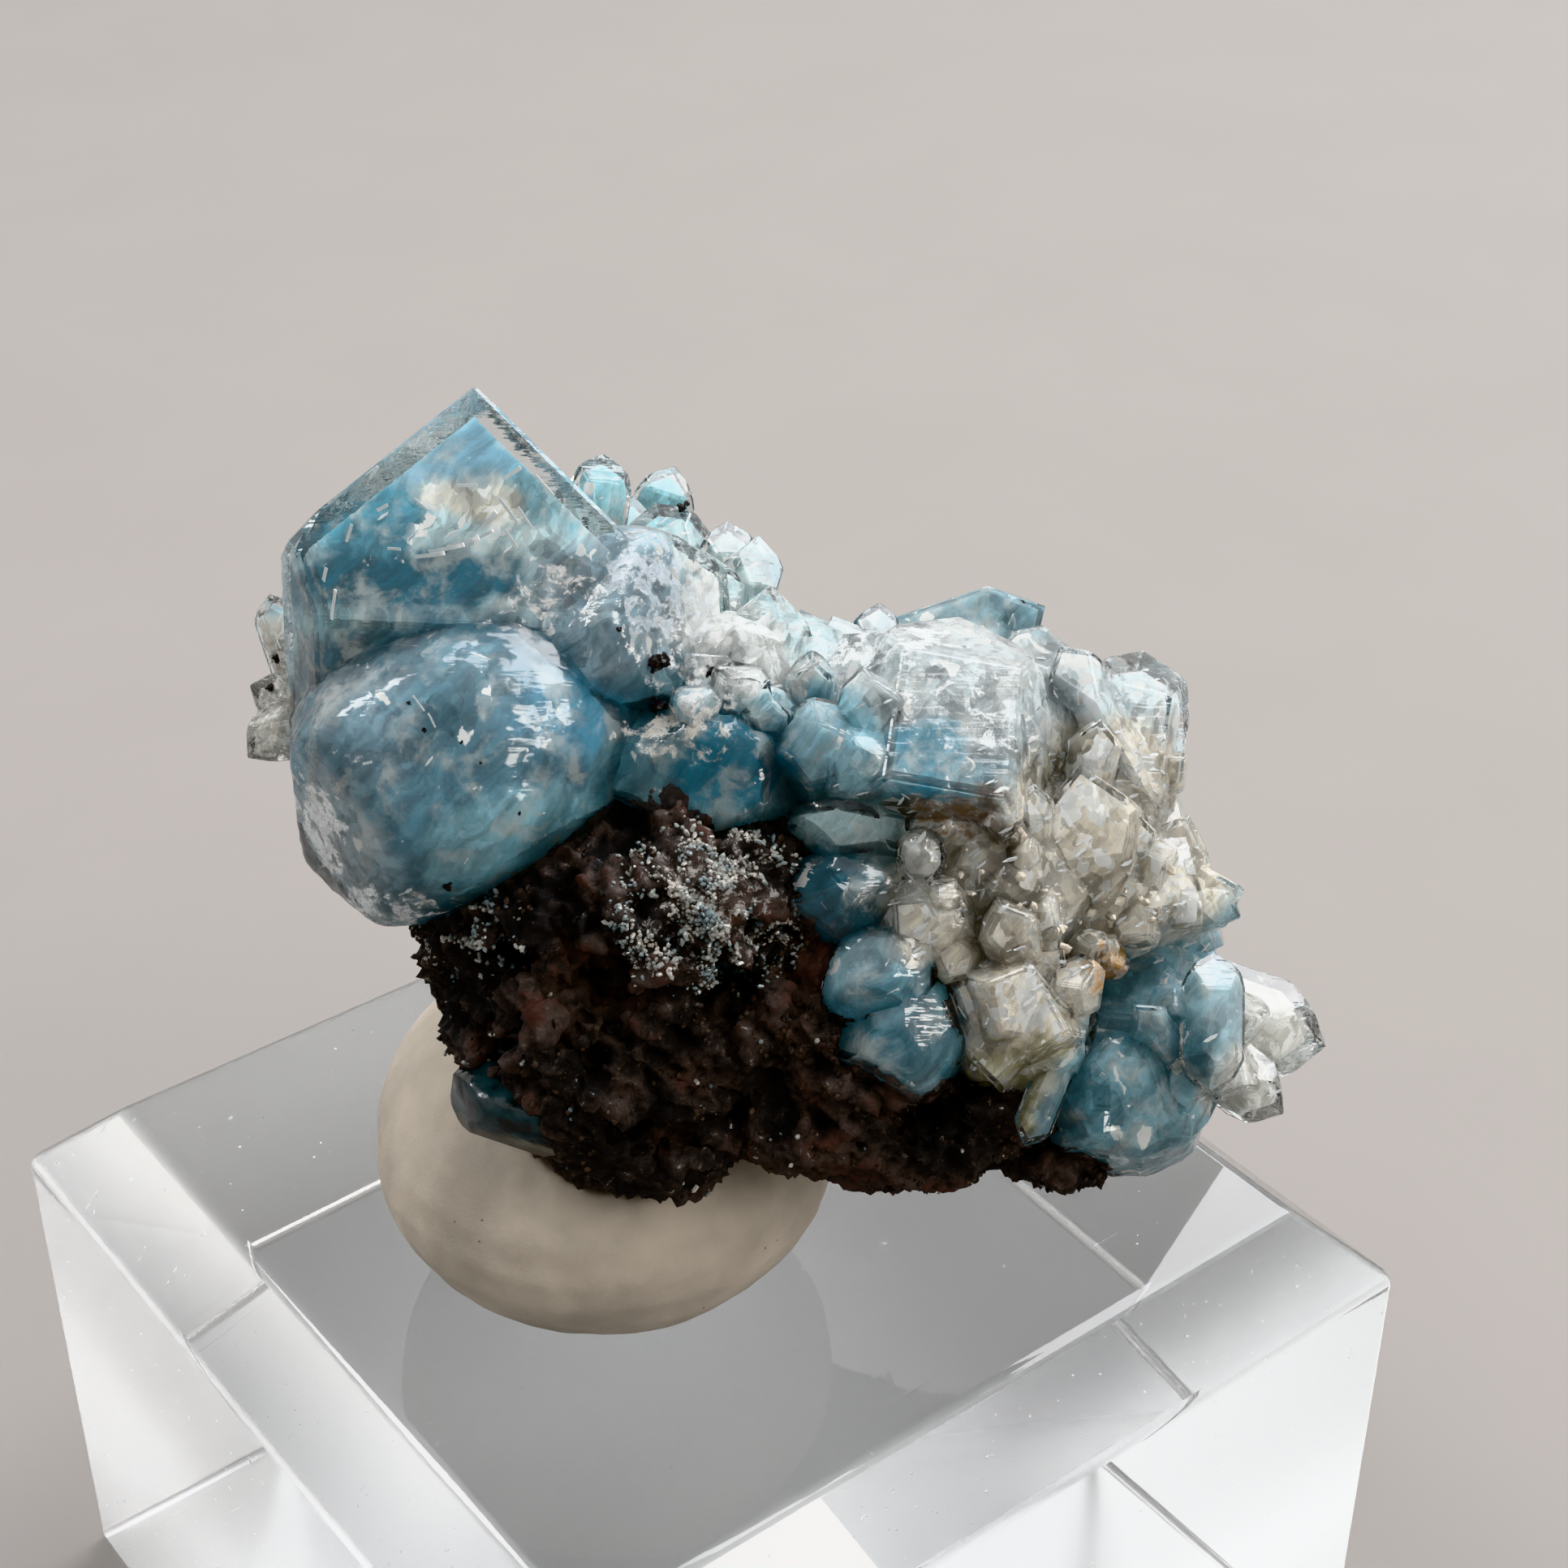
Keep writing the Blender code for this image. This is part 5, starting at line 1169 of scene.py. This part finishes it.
class QUARTZ_OT_lower_crystal(bpy.types.Operator):
    """Builds the dark lump of quartz at the lower left"""

    bl_idname = "quartz.lower_crystal"
    bl_label = "Lower crystal"

    def execute(self, context):
        made, tree = material_tree("dark_teal_quartz_with_painted_shade")
        places = display_places(tree)
        wisps = add(tree, "ShaderNodeTexNoise", {"Vector": wandering(tree, places, 1.0, 1.0), "Scale": 1.1, "Detail": 7.0})
        # Its dark teal is partly the quartz's own colour and partly painted shade, where the lump lies under the rock
        colour = add(tree, "ShaderNodeMix",
                     {"Factor": fade(tree, wisps, 0.4, 0.62), 6: linear("#10191B"), 7: linear("#2F4549")},
                     out=2, data_type="RGBA")
        bump = add(tree, "ShaderNodeBump", {"Strength": 0.5, "Distance": 0.1 * MM, "Height": wisps})
        surface = add(tree, "ShaderNodeBsdfPrincipled",
                      {"Base Color": colour, "Roughness": 0.12, "IOR": 1.544, "Transmission Weight": 0.3, "Normal": bump})
        add(tree, "ShaderNodeOutputMaterial", {"Surface": surface})
        bm = broken_lump(*LOWER_LUMP, 29, 5)
        mesh = bpy.data.meshes.new("lower")
        bm.to_mesh(mesh)
        bm.free()
        mesh.shade_smooth()
        finished(mesh, "lower_lump", made, ("lower_crystal",), TO_ROW)
        return {"FINISHED"}


def crumbled(mesh, height):
    """Pushes the even skin of the rock in and out, from vugs down to crumbs, and stores how far."""
    normals = np.zeros(len(mesh.vertices) * 3, np.float32)
    mesh.vertex_normals.foreach_get("vector", normals)
    normals = normals.reshape(-1, 3)
    lean = Matrix.Rotation(0.6, 3, "Z")
    moved, raised = [], []
    for vert, normal in zip(mesh.vertices, normals):
        place = vert.co
        fibre = lean @ place
        fibre = Vector((fibre.x * 0.5, fibre.y * 1.4, fibre.z))
        broad = noise.noise(place * 0.4)
        ridge = 1 - 2.2 * abs(noise.noise(fibre * 0.9 + Vector((9, 2, 4))))
        wall = 1 - 2.2 * abs(noise.noise(fibre * 2.1 + Vector((3, 7, 1))))
        fine = noise.noise(place * 3.1) + 0.6 * noise.noise(place * 6.5)
        torn = place * 0.6 + 0.35 * noise.noise_vector(place * 1.3)
        vug = min(1.0, noise.voronoi(torn)[0][0] / 0.45) - 1
        step = 0.6 * broad + 0.55 * ridge * abs(ridge) + 0.35 * wall + 0.28 * fine + 1.9 * vug - 0.2
        step = min(step, 0.9)
        moved.append(place + Vector(normal) * step * height)
        raised.append(step)
    for vert, place in zip(mesh.vertices, moved):
        vert.co = place
    mesh.attributes.new("raised", "FLOAT", "POINT").data.foreach_set("value", np.array(raised, np.float32))
    mesh.update()
    return mesh


class QUARTZ_OT_rock(bpy.types.Operator):
    """Builds the crumbly dark rock that the crystals grow on"""

    bl_idname = "quartz.rock"
    bl_label = "Dark rock"

    def execute(self, context):
        settings = context.scene.rock_settings
        lumps = [broken_lump(*lump, seed + 30, 4) for seed, lump in enumerate(ROCK_LUMPS)]
        pits = [broken_lump(centre, radii, 0, (), 0.6, 0, 0, seed + 60, 4)
                for seed, (centre, radii) in enumerate(ROCK_PITS)]
        mesh = crumbled(remeshed(grown_together(lumps, pits), 0.17), settings.grain / MM)
        mesh.shade_smooth()
        mesh.transform(TO_ROW)
        rock = finished(mesh, "rock_surface", rock_material(), ("matrix_rock",))

        to_display = np.array(TO_ROW.inverted())
        raised = np.zeros(len(rock.data.vertices), np.float32)
        rock.data.attributes["raised"].data.foreach_get("value", raised)
        clumps = np.array([noise.fractal(v.co * 900, 1.0, 2.0, 4) for v in rock.data.vertices])
        crest = np.clip(raised * 2 + 0.9, 0, 1) * np.clip(clumps * 7 + 0.2, 0, 1)

        def pale(places, normals):
            shown = places @ to_display[:3, :3].T + to_display[:3, 3]
            return (blob(shown, (-2.2, -3.9, 5.5), (3.4, 3.0, 5.0)) + 0.7 * blob(shown, (-9.6, -4.6, 3.0), (2.4, 1.8, 5.0))
                    + 0.004) * crest

        def rusty(places, normals):
            shown = places @ to_display[:3, :3].T + to_display[:3, 3]
            return (blob(shown, (1.2, -7.4, 5.0), (3.4, 3.4, 4.0)) + 0.3) * crest

        tree = scatter_tree("grains_on_rock")
        carrier = rock.data.copy()
        mark_where(carrier, pale)
        druse = druse_material()
        white = scattered(tree, carrier, little_point(), druse, 120.0, 0.05, 0.17, 0.9, 5)
        finished(white, "rock_druse", druse)
        mark_where(carrier, rusty)
        grains, rust_tree = material_tree("rusty_grains")
        tone = add(rust_tree, "ShaderNodeTexNoise", {"Vector": display_places(rust_tree), "Scale": 1.7, "Detail": 3.0})
        colour = add(rust_tree, "ShaderNodeMix",
                     {"Factor": fade(rust_tree, tone, 0.4, 0.62), 6: linear("#120F0E"), 7: linear("#43382F")},
                     out=2, data_type="RGBA")
        surface = add(rust_tree, "ShaderNodeBsdfPrincipled", {"Base Color": colour, "Roughness": 0.6})
        add(rust_tree, "ShaderNodeOutputMaterial", {"Surface": surface})
        brown = scattered(tree, carrier, crumb(3), grains, 16.0, 0.08, 0.3, 0.6, 8)
        finished(brown, "rock_grains", grains)
        bpy.data.meshes.remove(carrier)
        return {"FINISHED"}


class QUARTZ_OT_tack(bpy.types.Operator):
    """Builds the pressed ball of mineral tack"""

    bl_idname = "quartz.tack"
    bl_label = "Mineral tack"

    def execute(self, context):
        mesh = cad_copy("mineral_tack")
        mesh.transform(Matrix.Scale(1 / MM, 4))
        mesh = remeshed(mesh, 0.22)
        bm = bmesh.new()
        bm.from_mesh(mesh)
        bmesh.ops.smooth_vert(bm, verts=bm.verts, factor=0.5, use_axis_x=True, use_axis_y=True, use_axis_z=True)
        bmesh.ops.smooth_vert(bm, verts=bm.verts, factor=0.5, use_axis_x=True, use_axis_y=True, use_axis_z=True)
        bm.normal_update()
        steps = [(v, v.co + v.normal * (0.16 * noise.noise(v.co * 0.28) + 0.03 * noise.noise(v.co * 1.4))) for v in bm.verts]
        for vert, place in steps:
            # The foot settles flat on the block
            foot = max(0.0, min(1.0, (BLOCK_TOP + 0.9 - place.z) / 0.6))
            vert.co = Vector((place.x, place.y, place.z - foot * (place.z - BLOCK_TOP - 0.03)))
        bm.to_mesh(mesh)
        bm.free()
        mesh.shade_smooth()
        finished(mesh, "tack_ball", tack_material(), ("mineral_tack",), Matrix.Scale(MM, 4))
        return {"FINISHED"}


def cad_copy(node):
    """A copy of a CAD node's mesh with its loose triangles joined."""
    mesh = frame["nodes"][node].data.copy()
    bm = bmesh.new()
    bm.from_mesh(mesh)
    bmesh.ops.remove_doubles(bm, verts=bm.verts, dist=1e-6)
    bm.to_mesh(mesh)
    bm.free()
    return mesh


class QUARTZ_OT_block(bpy.types.Operator):
    """Builds the clear acrylic block with its polished chamfers"""

    bl_idname = "quartz.block"
    bl_label = "Acrylic block"

    def execute(self, context):
        radius = context.scene.stand_settings.edge_round / MM
        low, high = (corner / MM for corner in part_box("acrylic_block"))
        bm = bmesh.new()
        bmesh.ops.create_cube(bm, size=1.0)
        bm.transform(Matrix.Translation((low + high) / 2) @ Matrix.Diagonal((*(high - low), 1.0)))
        top = [e for e in bm.edges if all(v.co.z > high.z - 1 for v in e.verts)]
        bmesh.ops.bevel(bm, geom=top, offset=3.0, segments=1, affect="EDGES")
        sharp = [e for e in bm.edges if e.calc_face_angle(0.0) > math.radians(30)]
        bmesh.ops.bevel(bm, geom=sharp, offset=radius, segments=4, profile=0.5, affect="EDGES")
        mesh = bpy.data.meshes.new("block")
        bm.to_mesh(mesh)
        bm.free()
        for face in mesh.polygons:
            face.use_smooth = face.area < 20
        finished(mesh, "clear_block", acrylic_material(), ("acrylic_block",), Matrix.Scale(MM, 4))
        return {"FINISHED"}


# Black grains on the quartz: photograph-side place across and up, size, all in millimetres
OXIDE_GRAINS = (
    (-3.9, 3.8, 0.62), (-3.9, 2.5, 0.55), (-2.2, 3.5, 0.36), (-5.0, 4.7, 0.2), (-11.2, 2.4, 0.16),
    (-10.7, 1.6, 0.2), (-9.6, 1.2, 0.12), (-9.0, 0.6, 0.12), (-7.9, -0.9, 0.14), (-10.2, -3.1, 0.3),
    (-16.6, 4.2, 0.34), (-16.6, 3.1, 0.3), (-3.4, 9.3, 0.35),
)


class QUARTZ_OT_oxide(bpy.types.Operator):
    """Sets the black oxide grains on the crystals"""

    bl_idname = "quartz.oxide"
    bl_label = "Black oxide grains"

    def execute(self, context):
        tree = skin_tree()
        grains = bmesh.new()
        chance = random.Random(11)
        for across, up, size in OXIDE_GRAINS:
            hit, normal, _, _ = tree.ray_cast(Vector((across, up, 40.0)), Vector((0, 0, -1)))
            if hit is None:
                raise RuntimeError("an oxide grain lies off the crystals")
            for count in range(5 if size > 0.25 else 2):
                slip = Vector([chance.uniform(-0.45, 0.45) * size for _ in range(3)]) * (count > 0)
                fresh = bmesh.ops.create_icosphere(grains, subdivisions=2, radius=0.5)["verts"]
                scale = size * (0.9 if count == 0 else chance.uniform(0.3, 0.7))
                shift = Vector([chance.uniform(-9, 9) for _ in range(3)])
                for vert in fresh:
                    swell = 0.8 + 0.9 * noise.noise(vert.co * 3.0 + shift)
                    vert.co = hit + slip + normal * 0.2 * size + vert.co * scale * swell
        mesh = bpy.data.meshes.new("oxide")
        grains.to_mesh(mesh)
        grains.free()
        finished(mesh, "oxide_grains", oxide_material(), (), TO_ROW)
        return {"FINISHED"}


def aimed(place, target):
    """A matrix that puts something at place with its -Z axis towards target."""
    turn = (Vector(target) - Vector(place)).to_track_quat("-Z", "Y").to_matrix().to_4x4()
    return Matrix.Translation(place) @ turn


class QUARTZ_OT_stage(bpy.types.Operator):
    """Sets up the floor, the soft studio lights and the camera"""

    bl_idname = "quartz.stage"
    bl_label = "Stage"

    def execute(self, context):
        scene, settings = context.scene, context.scene.stage_settings
        bm = bmesh.new()
        bmesh.ops.create_grid(bm, x_segments=1, y_segments=1, size=1.5)
        mesh = bpy.data.meshes.new("floor")
        bm.to_mesh(mesh)
        bm.free()
        mesh.materials.append(floor_material(settings.floor))
        # A hair under the block, so that the two faces don't share a plane
        mesh.transform(Matrix.Translation((0, 0, -0.05 * MM)))
        floor = bpy.data.objects.new("floor", mesh)
        scene.collection.objects.link(floor)

        world = bpy.data.worlds.new("soft_room")
        world.use_nodes = True
        world.node_tree.nodes.clear()
        way = add(world.node_tree, "ShaderNodeTexCoord", out="Generated")
        behind = (math.sin(-FACE_TURN) * 0.75, math.cos(FACE_TURN) * 0.75, 0.66)
        height = add(world.node_tree, "ShaderNodeVectorMath", {0: way, 1: behind}, out="Value", operation="DOT_PRODUCT")
        tone = fade(world.node_tree, height, -0.7, 0.9, 0.34, 1.3)
        shade = add(world.node_tree, "ShaderNodeBackground", {"Color": linear("#EDEBEA"), "Strength": tone})
        add(world.node_tree, "ShaderNodeOutputWorld", {"Surface": shade})
        scene.world = world

        ahead = Vector((math.sin(-FACE_TURN), math.cos(FACE_TURN), 0))
        right = Vector((ahead.y, -ahead.x, 0))
        target = Vector((0, 0, 0.045))
        for name, place, size, power, code in (
            ("window", ahead * 0.24 + right * 0.24 + Vector((0, 0, 0.5)), (0.5, 0.42), settings.window, "#FBFBFF"),
            ("sky", right * -0.3 + ahead * 0.1 + Vector((0, 0, 0.38)), (0.14, 0.14), 0.8 * settings.fill, "#FFFFFF"),
            ("fill", ahead * -0.24 + right * 0.34 + Vector((0, 0, 0.3)), (0.16, 0.16), settings.fill, "#FFF9F2"),
        ):
            light = bpy.data.lights.new(name, "AREA")
            light.shape, light.size, light.size_y = "RECTANGLE", *size
            light.energy, light.color = power, linear(code)[:3]
            lamp = bpy.data.objects.new(name, light)
            lamp.matrix_world = aimed(place, target)
            scene.collection.objects.link(lamp)

        camera = bpy.data.objects.new("camera", bpy.data.cameras.new("camera"))
        camera.data.sensor_width, camera.data.lens = 36.0, 64.16
        camera.data.clip_start, camera.data.clip_end = 0.001, 10.0
        spin = Matrix.Rotation(math.radians(-37.73), 4, "Z")
        spot = spin @ Vector((3.52, -81.25, 71.06)) * MM + Vector((0, 0, BLOCK_TOP * MM))
        camera.matrix_world = Matrix.Translation(spot) @ spin @ Matrix.Rotation(math.radians(90 - 33.57), 4, "X")
        scene.collection.objects.link(camera)
        scene.camera = camera

        # Light passes through a rim and out again, and through the block under it
        scene.cycles.max_bounces = 9
        scene.cycles.transmission_bounces = 8
        scene.cycles.diffuse_bounces = 2
        scene.cycles.glossy_bounces = 3
        scene.view_settings.view_transform = "Khronos PBR Neutral"
        scene.view_settings.exposure = 0.25
        return {"FINISHED"}


OPERATORS = (
    QUARTZ_OT_block, QUARTZ_OT_tack, QUARTZ_OT_rock, QUARTZ_OT_lower_crystal,
    QUARTZ_OT_cluster, QUARTZ_OT_inclusions, QUARTZ_OT_cracks, QUARTZ_OT_points, QUARTZ_OT_oxide,
    QUARTZ_OT_stage,
)


class QUARTZ_PT_specimen(bpy.types.Panel):
    bl_idname = "QUARTZ_PT_specimen"
    bl_label = "Blue quartz specimen"
    bl_space_type = "VIEW_3D"
    bl_region_type = "UI"
    bl_category = "Quartz"

    def draw(self, context):
        for name in GROUPS:
            box = self.layout.box()
            settings = getattr(context.scene, name)
            for prop in settings.bl_rna.properties:
                if prop.identifier not in ("rna_type", "name"):
                    box.prop(settings, prop.identifier)
        for operator in OPERATORS:
            self.layout.operator(operator.bl_idname)


GROUPS = {
    "quartz_settings": QuartzSettings,
    "rock_settings": RockSettings,
    "stand_settings": StandSettings,
    "stage_settings": StageSettings,
}
CLASSES = (*GROUPS.values(), *OPERATORS, QUARTZ_PT_specimen)


def register():
    for cls in CLASSES:
        bpy.utils.register_class(cls)
    for name, group in GROUPS.items():
        setattr(bpy.types.Scene, name, bpy.props.PointerProperty(type=group))


def unregister():
    for name in GROUPS:
        delattr(bpy.types.Scene, name)
    for cls in reversed(CLASSES):
        bpy.utils.unregister_class(cls)


def main():
    register()
    for operator in OPERATORS:
        group, name = operator.bl_idname.split(".")
        getattr(getattr(bpy.ops, group), name)()


if __name__ == "__main__":
    main()
